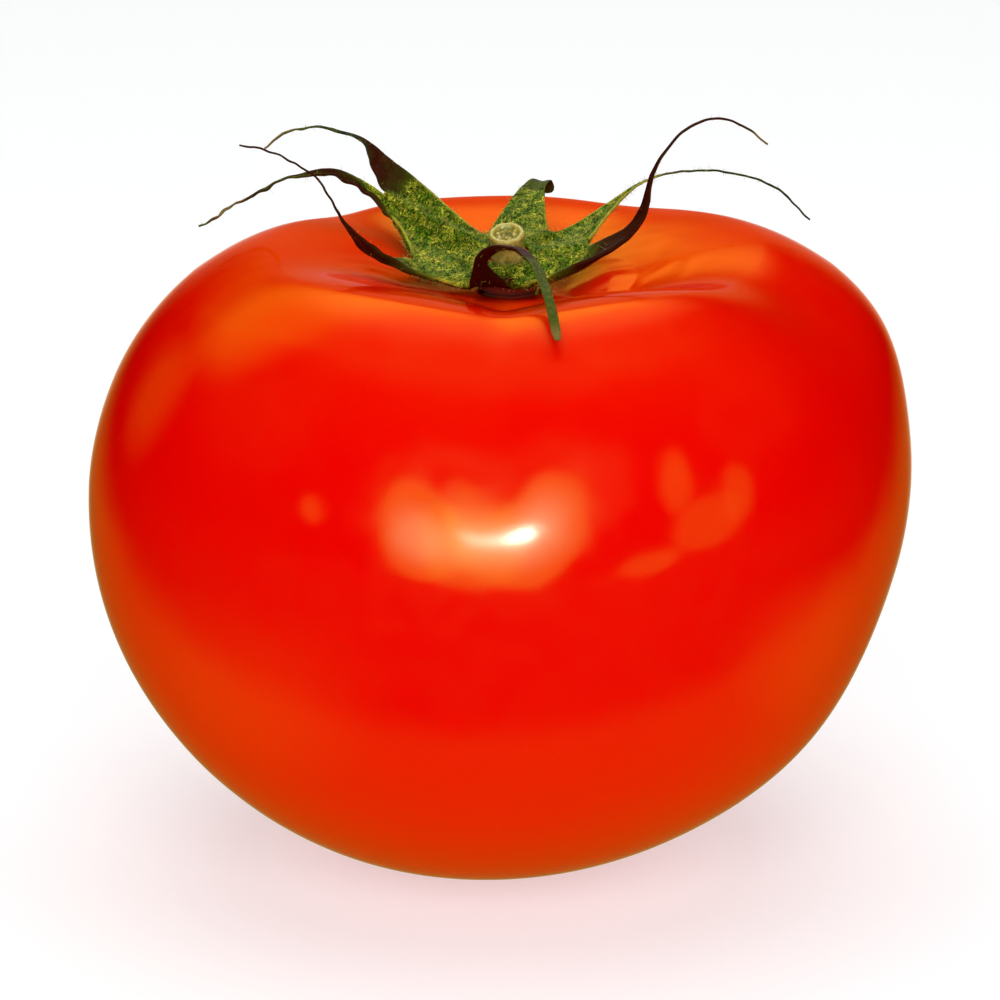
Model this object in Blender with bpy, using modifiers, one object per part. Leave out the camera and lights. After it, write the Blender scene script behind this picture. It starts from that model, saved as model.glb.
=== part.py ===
"""A ripe tomato as picked, standing on its blossom end: the fruit, its calyx and the cut stub of its stem.

Run it with: blender --background --python part.py
Metres, +Z up. The origin is on the surface that the fruit stands on, under the middle of its width and depth.
The front of the tomato looks along -Y.
"""

import math
from dataclasses import dataclass

import bmesh
import bpy
from mathutils import Vector

MM = 0.001

# The fruit's driving sizes.
FRUIT_RADIUS = 40.0 * MM
DEPTH_TO_WIDTH = 0.96
EQUATOR_HEIGHT = 36.9 * MM
SHOULDER_HEIGHT = 60.4 * MM
SHOULDER_RADIUS = 23.6 * MM
BASE_FLAT_RADIUS = 10.5 * MM
LEAN_PER_HEIGHT = 0.043
HOLLOW_DEPTH = 4.6 * MM

# How full the side is below and above the equator: the powers of the sine and cosine of a quarter ellipse.
BELLY_REACH_POWER = 1.34
BELLY_HEIGHT_POWER = 0.97
SHOULDER_REACH_POWER = 1.26
SHOULDER_HEIGHT_POWER = 1.05

# The dimple of the blossom end, inside the flat ring that the fruit stands on.
BLOSSOM_DIMPLE_RADIUS = 3.5 * MM
BLOSSOM_DIMPLE_DEPTH = 0.9 * MM

# The pit at the bottom of the stem hollow, which the stem's foot stands in.
PIT_RADIUS = 3.0 * MM
PIT_DEPTH = 1.3 * MM
PIT_FLOOR_RINGS = (0.55, 0.93)

# Where the furrows begin, as a share of the equator's height, and where they have run out into the stem hollow,
# in pit radii.
FURROWS_FROM = 0.8
FURROWS_END_IN_HOLLOW = (1.3, 3.5)

# Points nearer than this are one point.
MERGE_DISTANCE = 0.01 * MM

# How finely the fruit is divided.
TURN_STEPS = 60
DIMPLE_STEPS = 3
SIDE_STEPS = 13
HOLLOW_STEPS = 7

# The stem: a stub cut off above the calyx, leaning to the front and a little to the left.
STEM_RADIUS = 1.7 * MM
STEM_FOOT_RADIUS = 2.5 * MM
STEM_FOOT_GAP = 0.35 * MM
STEM_ABOVE_CALYX = 2.7 * MM
STEM_CUT_DISH = 0.35 * MM
STEM_CUT_RIM = 0.8
STEM_CUT_BEVEL = 0.05 * MM
STEM_KNOB_BELOW_CUT = 0.5 * MM
STEM_KNOB_SWELL = 1.03
STEM_WAIST_BELOW_CUT = 1.4 * MM
STEM_WAIST = 0.98
STEM_STRAIGHT_BELOW_CUT = 2.3 * MM
STEM_STRAIGHT_BELOW_CALYX = 1.0 * MM
STEM_FLARE_BELOW_CALYX = 1.6 * MM
STEM_FLARE = 1.15
STEM_FOOT_HEIGHT = 0.3 * MM
STEM_FOOT_TAPER = 0.96
STEM_LEAN = math.radians(22.0)
STEM_LEAN_AZIMUTH = math.radians(-100.0)
STEM_TURN_STEPS = 24

# The calyx: sepals grown together round a hole that the stem passes through.
CALYX_ABOVE_HOLLOW = 4.0 * MM
CALYX_HOLE_RADIUS = 2.05 * MM
CALYX_COLLAR_RADIUS = 2.75 * MM
CALYX_THICKNESS = 0.62 * MM
SEPAL_ROWS = 26
SEPAL_JOINED_ROWS = 6
SEPAL_COLUMNS = 4

# How deep the midrib lies, as a share of the width there, and how blunt the notches between sepals are.
MIDRIB_SINK = 0.08
NOTCH_BLUNTNESS = 0.4 * MM

# How far a joined sepal's middle line is drawn to the middle between its two edges.
EVEN_SPREAD = 0.5

# Where a blade's rounded tip starts, and its length if it ran on to a point, as shares of the blade's length.
TIP_FROM = 0.94
TIP_LENGTH = 0.07

# How far ahead and behind a blade's direction is read, as a share of its length.
DIRECTION_REACH = 0.01


@dataclass(frozen=True)
class Furrow:
    """A valley between two lobes, from the stem hollow down over the shoulder, in degrees and millimetres."""

    azimuth: float
    depth: float
    spread: float


@dataclass(frozen=True)
class Swell:
    """A place on the side where the fruit is fuller, or flatter if the amount is below zero, in millimetres."""

    azimuth: float
    height: float
    reach: float
    amount: float


@dataclass(frozen=True)
class Sepal:
    """A pointed green leaf of the calyx.

    The route is its middle line, in millimetres from the middle of the calyx's hole, with x to the right, y to
    the back and z up. The notch is where it parts from the next sepal, counted to the left seen from above.
    The sepal's left and right edges are joined to its neighbours up to the two shares of its length in joined,
    and come in to its own width over the share in parting. Width is across the blade at its widest, tail across
    its thin end, and the blade narrows between the two shares in narrows. Roll turns the blade about its middle
    line, in degrees, at the start, middle and end.
    """

    route: tuple
    notch: tuple
    joined: tuple
    parting: float
    width: float
    tail: float
    narrows: tuple
    roll: tuple


FURROWS = (
    Furrow(azimuth=-92.0, depth=1.6, spread=20.0),
    Furrow(azimuth=-20.0, depth=2.2, spread=22.0),
    Furrow(azimuth=60.0, depth=0.7, spread=16.0),
    Furrow(azimuth=135.0, depth=0.7, spread=12.0),
    Furrow(azimuth=198.0, depth=0.5, spread=17.0),
)

SWELLS = (
    Swell(azimuth=0.0, height=10.0, reach=8.0, amount=1.0),
    Swell(azimuth=0.0, height=28.0, reach=9.0, amount=-0.55),
    Swell(azimuth=20.0, height=54.0, reach=9.0, amount=2.2),
    Swell(azimuth=90.0, height=54.0, reach=9.0, amount=-2.5),
    Swell(azimuth=180.0, height=54.0, reach=9.0, amount=0.4),
)

# Anticlockwise seen from above, from the sepal that arches over the front.
SEPALS = (
    Sepal(
        route=((-2.7, -3.6, -2.0), (-2.9, -4.8, -0.5), (-2.4, -6.3, 1.4), (-1.0, -8.8, 2.9), (1.0, -12.6, 3.6),
               (2.5, -17.2, 3.2), (3.6, -22.4, 1.6), (4.4, -26.9, -1.1)),
        notch=(0.5, -4.2, -2.1), joined=(0.14, 0.14), parting=0.12, width=1.6, tail=0.9, narrows=(0.1, 0.95),
        roll=(0.0, 10.0, 0.0),
    ),
    Sepal(
        route=((2.5, -2.2, -1.1), (4.4, -2.6, -1.3), (6.6, -2.8, -0.5), (8.8, -2.9, 1.0), (11.4, -3.3, 3.0),
               (12.8, -3.4, 5.4), (13.5, -3.4, 8.6), (14.7, -3.4, 10.8), (16.9, -3.0, 13.1), (19.5, -2.4, 13.8),
               (22.0, -1.4, 13.0), (24.6, -0.2, 10.9)),
        notch=(7.6, 1.6, 0.7), joined=(0.14, 0.14), parting=0.28, width=2.2, tail=0.6, narrows=(0.25, 0.65),
        roll=(0.0, -35.0, 0.0),
    ),
    Sepal(
        route=((2.7, 2.4, 0.0), (5.2, 4.8, 0.1), (7.7, 7.2, 1.2), (10.1, 9.8, 2.7), (13.3, 12.3, 4.4),
               (17.0, 13.2, 5.1), (21.5, 13.3, 5.1), (26.1, 11.9, 3.8), (29.4, 9.8, 1.1)),
        notch=(4.1, 5.2, 0.8), joined=(0.21, 0.21), parting=0.36, width=4.2, tail=0.6, narrows=(0.15, 0.56),
        roll=(0.0, 25.0, 0.0),
    ),
    Sepal(
        route=((0.2, 3.6, 0.6), (0.9, 6.8, 1.6), (1.7, 9.8, 2.7), (2.6, 12.6, 3.8), (3.4, 14.2, 4.1),
               (4.0, 15.0, 2.6)),
        notch=(-2.3, 5.2, 0.6), joined=(0.4, 0.4), parting=0.3, width=4.2, tail=1.6, narrows=(0.35, 0.95),
        roll=(0.0, 0.0, 0.0),
    ),
    Sepal(
        route=((-2.6, 3.8, 0.0), (-5.4, 6.8, 1.0), (-7.9, 9.9, 2.4), (-10.3, 12.1, 3.8), (-12.4, 13.7, 5.9),
               (-14.0, 14.8, 7.7), (-16.8, 15.4, 8.8), (-20.6, 15.1, 8.9), (-23.8, 13.9, 7.2)),
        notch=(-12.1, 10.4, 3.6), joined=(0.4, 0.4), parting=0.25, width=3.6, tail=0.6, narrows=(0.35, 0.68),
        roll=(0.0, 25.0, 0.0),
    ),
    Sepal(
        route=((-4.0, 2.0, -0.7), (-6.8, 3.9, -0.4), (-9.3, 6.4, 0.7), (-11.5, 9.0, 2.4), (-13.8, 10.6, 4.2),
               (-17.2, 11.2, 5.7), (-22.0, 10.8, 4.8), (-26.6, 9.8, 2.6), (-29.9, 7.8, 0.7)),
        notch=(-8.8, 1.8, -0.9), joined=(0.22, 0.42), parting=0.2, width=1.6, tail=0.7, narrows=(0.45, 0.7),
        roll=(0.0, 20.0, 0.0),
    ),
    Sepal(
        route=((-4.4, -1.3, -1.3), (-7.5, -2.2, -1.0), (-10.5, -3.1, -0.1), (-12.9, -3.7, 1.3),
               (-15.2, -4.1, 3.7), (-16.6, -4.2, 6.3), (-18.0, -3.8, 8.3), (-20.7, -2.4, 9.7),
               (-23.2, -1.4, 10.6), (-25.5, -0.2, 10.7)),
        notch=(-3.7, -3.4, -2.3), joined=(0.22, 0.22), parting=0.3, width=2.8, tail=0.6, narrows=(0.15, 0.65),
        roll=(0.0, 15.0, 0.0),
    ),
)


def clear_scene():
    """Removes every object that the scene starts with."""
    for obj in list(bpy.data.objects):
        bpy.data.objects.remove(obj, do_unlink=True)


def make_collection(name):
    """A new collection, linked to the scene."""
    collection = bpy.data.collections.new(name)
    bpy.context.scene.collection.children.link(collection)
    return collection


def make_material(name, color, roughness):
    """A plain material of one colour, with no metal in it."""
    material = bpy.data.materials.new(name)
    material.use_nodes = True
    shader = material.node_tree.nodes["Principled BSDF"]
    shader.inputs["Base Color"].default_value = (*color, 1.0)
    shader.inputs["Roughness"].default_value = roughness
    shader.inputs["Metallic"].default_value = 0.0
    return material


def make_object(name, mesh, collection, material, parent):
    """An object round a mesh, with its material, hung on the origin's empty."""
    obj = bpy.data.objects.new(name, mesh)
    obj.data.materials.append(material)
    obj.parent = parent
    collection.objects.link(obj)
    return obj


def smooth_step(low, high, value):
    """0 below low, 1 above high, and an even curve between the two."""
    share = min(1.0, max(0.0, (value - low) / (high - low)))
    return share * share * (3.0 - 2.0 * share)


def turned_mesh(name, profile, steps):
    """A closed mesh turned about Z from a profile of radius and height, which runs from top to bottom."""
    line = bmesh.new()
    points = [line.verts.new((radius, 0.0, height)) for radius, height in profile]
    for above, below in zip(points, points[1:]):
        line.edges.new((above, below))
    outline = bpy.data.meshes.new(name + "_profile")
    line.to_mesh(outline)
    line.free()

    lathe = bpy.data.objects.new(name + "_lathe", outline)
    bpy.context.scene.collection.objects.link(lathe)
    screw = lathe.modifiers.new("Screw", "SCREW")
    screw.steps = steps
    screw.render_steps = steps
    screw.use_merge_vertices = True
    screw.merge_threshold = MERGE_DISTANCE
    graph = bpy.context.evaluated_depsgraph_get()
    mesh = bpy.data.meshes.new_from_object(lathe.evaluated_get(graph))
    mesh.name = name
    bpy.data.objects.remove(lathe, do_unlink=True)
    bpy.data.meshes.remove(outline)
    return mesh


def fruit_profile():
    """Radius and height of the fruit's outline with no lobes, from the pit at the top to the blossom end."""
    hollow_floor = SHOULDER_HEIGHT - HOLLOW_DEPTH
    points = [(share * PIT_RADIUS, hollow_floor - PIT_DEPTH) for share in (0.0, *PIT_FLOOR_RINGS)]
    for step in range(HOLLOW_STEPS):
        radius = PIT_RADIUS + (SHOULDER_RADIUS - PIT_RADIUS) * step / HOLLOW_STEPS
        points.append((radius, hollow_height(radius)))
    quarter = math.pi / 2
    for step in range(SIDE_STEPS):
        turn = quarter * (1.0 - step / SIDE_STEPS)
        reach = math.cos(turn) ** SHOULDER_REACH_POWER if step else 0.0
        rise = math.sin(turn) ** SHOULDER_HEIGHT_POWER
        points.append((
            SHOULDER_RADIUS + (FRUIT_RADIUS - SHOULDER_RADIUS) * reach,
            EQUATOR_HEIGHT + (SHOULDER_HEIGHT - EQUATOR_HEIGHT) * rise,
        ))
    for step in range(SIDE_STEPS):
        turn = quarter * (1.0 - step / SIDE_STEPS)
        reach = math.sin(turn) ** BELLY_REACH_POWER
        drop = math.cos(turn) ** BELLY_HEIGHT_POWER if step else 0.0
        points.append((
            BASE_FLAT_RADIUS + (FRUIT_RADIUS - BASE_FLAT_RADIUS) * reach,
            EQUATOR_HEIGHT * (1.0 - drop),
        ))
    points.append((BASE_FLAT_RADIUS, 0.0))
    for step in range(DIMPLE_STEPS + 1):
        share = 1.0 - step / DIMPLE_STEPS
        height = BLOSSOM_DIMPLE_DEPTH * (1.0 + math.cos(math.pi * share)) / 2
        points.append((BLOSSOM_DIMPLE_RADIUS * share, height))
    return points


def hollow_height(radius):
    """Height of the stem hollow's wall at a radius, from its floor up to the shoulder."""
    return SHOULDER_HEIGHT - HOLLOW_DEPTH * (1.0 + math.cos(math.pi * radius / SHOULDER_RADIUS)) / 2


def furrow_depth(azimuth):
    """How deep the furrows are at an azimuth in degrees, where the shoulder is highest."""
    depth = 0.0
    for furrow in FURROWS:
        gap = (azimuth - furrow.azimuth + 180.0) % 360.0 - 180.0
        depth += furrow.depth * MM * math.exp(-((gap / furrow.spread) ** 2))
    return depth


def swell_amount(azimuth, height):
    """How far the side stands out past a turned shape, at an azimuth in degrees and a height."""
    amount = 0.0
    for swell in SWELLS:
        facing = max(0.0, math.cos(math.radians(azimuth - swell.azimuth))) ** 2
        level = math.exp(-(((height / MM - swell.height) / swell.reach) ** 2))
        amount += swell.amount * MM * facing * level
    return amount


def shape_fruit_point(point):
    """Where a point of the turned fruit goes: furrows press it in, the side swells, and the axis leans."""
    radius = math.hypot(point.x, point.y)
    azimuth = math.degrees(math.atan2(point.y, point.x))
    heart = Vector((0.0, 0.0, EQUATOR_HEIGHT))
    on_shoulder = smooth_step(FURROWS_FROM * EQUATOR_HEIGHT, SHOULDER_HEIGHT, point.z)
    off_the_pit = smooth_step(*FURROWS_END_IN_HOLLOW, radius / PIT_RADIUS)
    pressed = furrow_depth(azimuth) * on_shoulder * off_the_pit
    moved = point + (heart - point).normalized() * pressed
    if radius > BASE_FLAT_RADIUS:
        fuller = 1.0 + swell_amount(azimuth, point.z) / radius
        moved.x *= fuller
        moved.y *= fuller
    moved.y *= DEPTH_TO_WIDTH
    moved.x += LEAN_PER_HEIGHT * (point.z - EQUATOR_HEIGHT)
    return moved


def build_fruit(collection, parent):
    """The fruit, one solid from skin to skin."""
    mesh = turned_mesh("fruit", fruit_profile(), TURN_STEPS)
    for vertex in mesh.vertices:
        vertex.co = shape_fruit_point(vertex.co)
    mesh.shade_smooth()
    skin = make_material("tomato_skin", (0.72, 0.012, 0.004), 0.22)
    return make_object("fruit", mesh, collection, skin, parent)


def stem_axis():
    """Where the stem's axis leaves the floor of the fruit's pit."""
    height = SHOULDER_HEIGHT - HOLLOW_DEPTH
    return Vector((LEAN_PER_HEIGHT * (height - EQUATOR_HEIGHT), 0.0, height))


def bend_with_stem(point):
    """Bends a point, given with its height above the hollow's floor, along the stem's curve."""
    curve = STEM_LEAN / CALYX_ABOVE_HOLLOW
    angle = min(max(point.z, 0.0) * curve, STEM_LEAN)
    straight = point.z - angle / curve
    aside = (1.0 - math.cos(angle)) / curve + straight * math.sin(angle)
    rise = math.sin(angle) / curve + straight * math.cos(angle)
    lean_x, lean_y = math.cos(STEM_LEAN_AZIMUTH), math.sin(STEM_LEAN_AZIMUTH)
    along = point.x * lean_x + point.y * lean_y
    across = -point.x * lean_y + point.y * lean_x
    toward = aside + along * math.cos(angle)
    up = rise - along * math.sin(angle)
    return stem_axis() + Vector((toward * lean_x - across * lean_y, toward * lean_y + across * lean_x, up))


def calyx_middle():
    """The middle of the calyx's hole, on the stem's axis."""
    return bend_with_stem(Vector((0.0, 0.0, CALYX_ABOVE_HOLLOW)))


def stem_profile():
    """Radius and height above the hollow's floor, from the cut down to the foot in the pit."""
    cut = CALYX_ABOVE_HOLLOW + STEM_ABOVE_CALYX
    foot = -PIT_DEPTH + STEM_FOOT_GAP
    return [
        (0.0, cut - STEM_CUT_DISH),
        (STEM_CUT_RIM * STEM_RADIUS, cut),
        (STEM_RADIUS, cut - STEM_CUT_BEVEL),
        (STEM_KNOB_SWELL * STEM_RADIUS, cut - STEM_KNOB_BELOW_CUT),
        (STEM_WAIST * STEM_RADIUS, cut - STEM_WAIST_BELOW_CUT),
        (STEM_RADIUS, cut - STEM_STRAIGHT_BELOW_CUT),
        (STEM_RADIUS, CALYX_ABOVE_HOLLOW - STEM_STRAIGHT_BELOW_CALYX),
        (STEM_FLARE * STEM_RADIUS, CALYX_ABOVE_HOLLOW - STEM_FLARE_BELOW_CALYX),
        (STEM_FOOT_RADIUS, STEM_FOOT_HEIGHT),
        (STEM_FOOT_TAPER * STEM_FOOT_RADIUS, foot),
        (0.0, foot),
    ]


def build_stem(collection, parent):
    """The cut stub of stem, with the foot that it grew on the fruit by."""
    mesh = turned_mesh("stem_stub", stem_profile(), STEM_TURN_STEPS)
    for vertex in mesh.vertices:
        vertex.co = bend_with_stem(vertex.co)
    mesh.shade_smooth()
    cut_stem = make_material("cut_stem", (0.42, 0.40, 0.10), 0.45)
    return make_object("stem_stub", mesh, collection, cut_stem, parent)


def smooth_route(points, share):
    """The point at a share of the length of an even curve through the given points."""
    spans = [(after - before).length ** 0.5 for before, after in zip(points, points[1:])]
    lengths = [0.0]
    for before, after in zip(points, points[1:]):
        lengths.append(lengths[-1] + (after - before).length)
    target = share * lengths[-1]
    index = max(i for i in range(len(points) - 1) if lengths[i] <= target)
    within = (target - lengths[index]) / (lengths[index + 1] - lengths[index])
    before, start = points[max(index - 1, 0)], points[index]
    end, after = points[index + 1], points[min(index + 2, len(points) - 1)]
    span = spans[index]
    lead_in = spans[index - 1] if index else span
    lead_out = spans[index + 1] if index + 1 < len(spans) else span
    direct = (end - start) / span
    start_slope = direct
    end_slope = direct
    if index:
        start_slope = ((start - before) / lead_in * span + direct * lead_in) / (lead_in + span)
    if index + 1 < len(spans):
        end_slope = (direct * lead_out + (after - end) / lead_out * span) / (span + lead_out)
    square, cube = within * within, within**3
    return (
        start * (2 * cube - 3 * square + 1)
        + start_slope * span * (cube - 2 * square + within)
        + end * (3 * square - 2 * cube)
        + end_slope * span * (cube - square)
    )


def blend_three(values, share):
    """A value that runs evenly from the first of three through the second to the third."""
    if share < 0.5:
        return values[0] + (values[1] - values[0]) * smooth_step(0.0, 0.5, share)
    return values[1] + (values[2] - values[1]) * smooth_step(0.5, 1.0, share)


def half_width(sepal, share):
    """Half the blade's width at a share of its length."""
    narrowed = smooth_step(*sepal.narrows, share)
    across = sepal.width + (sepal.tail - sepal.width) * narrowed
    past_tip_start = max(0.0, share - TIP_FROM) / TIP_LENGTH
    return across * math.sqrt(1.0 - past_tip_start**2) * MM / 2


def ring_point(radius, azimuth):
    """A point round the calyx's hole, on a plane that is tilted with the stem."""
    x, y = radius * math.cos(azimuth), radius * math.sin(azimuth)
    return bend_with_stem(Vector((x, y, CALYX_ABOVE_HOLLOW)))


def azimuth_of(place):
    """The azimuth of a place given from the middle of the calyx."""
    return math.atan2(place[1], place[0])


def blade_edge(sepal, route, share, side):
    """A point on the free blade's edge at a share of its length: its left edge is side +1, its right one -1."""
    outward = Vector(sepal.route[-1]).xy.normalized()
    sideways = Vector((-outward.y, outward.x, 0.0))
    ahead = smooth_route(route, min(1.0, share + DIRECTION_REACH))
    behind = smooth_route(route, max(0.0, share - DIRECTION_REACH))
    along = (ahead - behind).normalized()
    across = (sideways - along * sideways.dot(along)).normalized()
    roll = -math.radians(blend_three(sepal.roll, share))
    direction = across * math.cos(roll) + along.cross(across) * math.sin(roll)
    return smooth_route(route, share) + direction * side * half_width(sepal, share)


def row_places():
    """Places across a row, from 1 at its left edge to -1 at its right edge."""
    return [1.0 - 2.0 * column / SEPAL_COLUMNS for column in range(SEPAL_COLUMNS + 1)]


def even_arc(left, middle, right, place):
    """The value at a place on the arc that runs through three values."""
    from_left = place * (place + 1.0) / 2
    from_right = place * (place - 1.0) / 2
    return left * from_left + middle * (1.0 - place * place) + right * from_right


def collar_rows(azimuths):
    """The two rows round the calyx's hole, from a sepal's left azimuth to its right one by way of its own."""
    left, middle, right = azimuths
    middle = left - (left - middle) % math.tau
    right = left - (left - right) % math.tau
    turns = [even_arc(left, middle, right, place) for place in row_places()]
    radii = (CALYX_HOLE_RADIUS, CALYX_COLLAR_RADIUS)
    return [[ring_point(radius, turn) for turn in turns] for radius in radii]


def sepal_grid(sepal, notch_before):
    """Rows of points over the sepal, from the calyx's hole to the tip, each from its left to its right edge."""
    centre = calyx_middle()
    azimuths = [azimuth_of(place) for place in (sepal.notch, sepal.route[0], notch_before)]
    rows = collar_rows(azimuths)
    route = [ring_point(CALYX_COLLAR_RADIUS, azimuths[1])]
    route += [centre + Vector(place) * MM for place in sepal.route]
    corners = {+1: (azimuths[0], centre + Vector(sepal.notch) * MM)}
    corners[-1] = (azimuths[2], centre + Vector(notch_before) * MM)
    joined = {+1: sepal.joined[0], -1: sepal.joined[1]}
    free_rows = SEPAL_ROWS - SEPAL_JOINED_ROWS
    for row in range(1, SEPAL_ROWS + 1):
        to_notch = min(1.0, row / SEPAL_JOINED_ROWS)
        past_notch = max(0.0, (row - SEPAL_JOINED_ROWS) / free_rows)
        shares = {side: start * to_notch + (1.0 - start) * past_notch for side, start in joined.items()}
        parted = {side: min(1.0, (shares[side] - joined[side]) / sepal.parting) for side in joined}
        held = {side: (1.0 - max(0.0, parted[side])) ** 2 for side in joined}
        middle = smooth_route(route, (shares[+1] + shares[-1]) / 2)
        edges = {}
        for side, (azimuth, notch) in corners.items():
            if past_notch:
                offset = notch - blade_edge(sepal, route, joined[side], side)
                edge = blade_edge(sepal, route, shares[side], side) + offset * held[side]
                edges[side] = edge + (middle - edge).normalized() * NOTCH_BLUNTNESS * held[side]
            else:
                edges[side] = ring_point(CALYX_COLLAR_RADIUS, azimuth).lerp(notch, to_notch)
        even = (edges[+1] + edges[-1]) / 2
        middle = middle.lerp(even, EVEN_SPREAD * (held[+1] + held[-1]) / 2 * to_notch)
        middle.z -= (edges[+1] - edges[-1]).length * MIDRIB_SINK * to_notch
        rows.append([even_arc(edges[+1], middle, edges[-1], place) for place in row_places()])
    return rows


def build_calyx(collection, parent):
    """The calyx, one sheet of sepals that are joined round the stem's hole, thickened to both sides."""
    sheet = bmesh.new()
    for index, sepal in enumerate(SEPALS):
        rows = sepal_grid(sepal, SEPALS[index - 1].notch)
        grid = [[sheet.verts.new(point) for point in row] for row in rows]
        for near, far in zip(grid, grid[1:]):
            for column in range(SEPAL_COLUMNS):
                sheet.faces.new((near[column], near[column + 1], far[column + 1], far[column]))
    bmesh.ops.remove_doubles(sheet, verts=sheet.verts, dist=MERGE_DISTANCE)
    bmesh.ops.triangulate(sheet, faces=sheet.faces)
    mesh = bpy.data.meshes.new("calyx")
    sheet.to_mesh(mesh)
    sheet.free()
    mesh.shade_smooth()
    leaf = make_material("calyx_green", (0.055, 0.16, 0.012), 0.6)
    calyx = make_object("calyx", mesh, collection, leaf, parent)
    thicken = calyx.modifiers.new("Solidify", "SOLIDIFY")
    thicken.thickness = CALYX_THICKNESS
    thicken.offset = 0.0
    return calyx


def middle_of(obj):
    """The middle of an object's width and depth."""
    xs = [vertex.co.x for vertex in obj.data.vertices]
    ys = [vertex.co.y for vertex in obj.data.vertices]
    return Vector(((min(xs) + max(xs)) / 2, (min(ys) + max(ys)) / 2, 0.0))


def main():
    """Builds the three pieces round an origin under the middle of the fruit."""
    clear_scene()
    tomato = make_collection("tomato")
    origin = bpy.data.objects.new("tomato_origin", None)
    tomato.objects.link(origin)
    fruit = build_fruit(tomato, origin)
    build_stem(tomato, origin)
    build_calyx(tomato, origin)
    origin.location = -middle_of(fruit)


main()
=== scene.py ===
"""A ripe lobed tomato with its calyx and the cut stub of its stem, on a pale table in a pale studio.

Metres, +Z up, the front of the tomato looks along -Y. Each piece follows the solid that it stands for, more
finely divided and with the low relief, colours and hairs that the solids leave out.
"""

import logging
import math
import random
from dataclasses import dataclass
from enum import Enum

import bmesh
import bpy
from mathutils import Matrix, Vector, noise


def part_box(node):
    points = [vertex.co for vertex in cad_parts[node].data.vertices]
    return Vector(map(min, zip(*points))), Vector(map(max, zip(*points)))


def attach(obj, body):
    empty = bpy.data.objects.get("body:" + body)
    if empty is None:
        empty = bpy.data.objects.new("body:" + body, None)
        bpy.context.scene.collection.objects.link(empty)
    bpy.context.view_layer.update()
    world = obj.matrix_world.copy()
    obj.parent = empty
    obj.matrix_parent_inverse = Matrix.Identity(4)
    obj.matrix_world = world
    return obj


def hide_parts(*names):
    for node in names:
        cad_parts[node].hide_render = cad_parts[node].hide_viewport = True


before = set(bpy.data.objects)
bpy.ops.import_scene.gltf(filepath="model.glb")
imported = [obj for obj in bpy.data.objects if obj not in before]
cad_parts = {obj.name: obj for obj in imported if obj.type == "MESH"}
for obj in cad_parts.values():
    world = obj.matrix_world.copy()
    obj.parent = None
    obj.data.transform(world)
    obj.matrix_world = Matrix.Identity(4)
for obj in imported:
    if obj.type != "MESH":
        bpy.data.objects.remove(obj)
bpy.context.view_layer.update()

MM = 0.001
UP = Vector((0.0, 0.0, 1.0))

LOG = logging.getLogger("tomato")

Colour = tuple[float, float, float]
Spot = tuple[float, float, float]
Socket = bpy.types.NodeSocket


class Tone(Enum):
    """The colours that a sepal runs through from its green base to its dried tip."""

    FRESH = (0.088, 0.192, 0.005)
    DEEP = (0.016, 0.045, 0.003)
    OLIVE = (0.085, 0.110, 0.010)
    MAROON = (0.050, 0.0045, 0.0018)
    BROWN = (0.050, 0.024, 0.004)
    TEAL = (0.004, 0.033, 0.018)
    TAN = (0.260, 0.180, 0.045)


def smooth_step(low: float, high: float, value: float) -> float:
    """An even curve from 0 at low to 1 at high.

    Args:
        low: The value below which the result is 0.
        high: The value above which the result is 1.
        value: The value to place between them.

    Returns:
        The share of the way from low to high, eased at both ends.
    """
    share = min(1.0, max(0.0, (value - low) / (high - low)))
    return share * share * (3.0 - 2.0 * share)


def blend(start: float, end: float, share: float) -> float:
    """The value at a share of the way from start to end."""
    return start + (end - start) * share


def between(keys: tuple, share: float) -> tuple:
    """Where a share lies among pairs of share and value.

    Args:
        keys: Pairs of a share of the length and the value there, in order.
        share: The share to look up.

    Returns:
        The values before and after it, and how far it is from one to the other, eased.
    """
    for (low, before), (high, after) in zip(keys, keys[1:]):
        if share <= high:
            return before, after, smooth_step(low, high, share)
    return keys[-1][1], keys[-1][1], 0.0


def keyed(keys: tuple, share: float) -> float:
    """The value at a share of the length, from pairs of share and value."""
    return blend(*between(keys, share))


def keyed_tone(keys: tuple, share: float) -> Vector:
    """The colour at a share of a sepal's length, from pairs of share and tone."""
    before, after, eased = between(keys, share)
    return Vector(before.value).lerp(Vector(after.value), eased)


def waviness(place: Vector, length: float, seed: float) -> float:
    """Even noise from -1 to 1 with waves of about the given length."""
    return noise.noise(place / length + Vector((seed, -seed, 0.5 * seed)))


def vein_height(place: Vector, cell: float) -> float:
    """How near a place is to the net between cells of a given size, from 0 inside a cell to 1 on the net."""
    nearest = noise.voronoi(place / cell)[0]
    return 1.0 - smooth_step(0.0, 0.28, nearest[1] - nearest[0])


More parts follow.
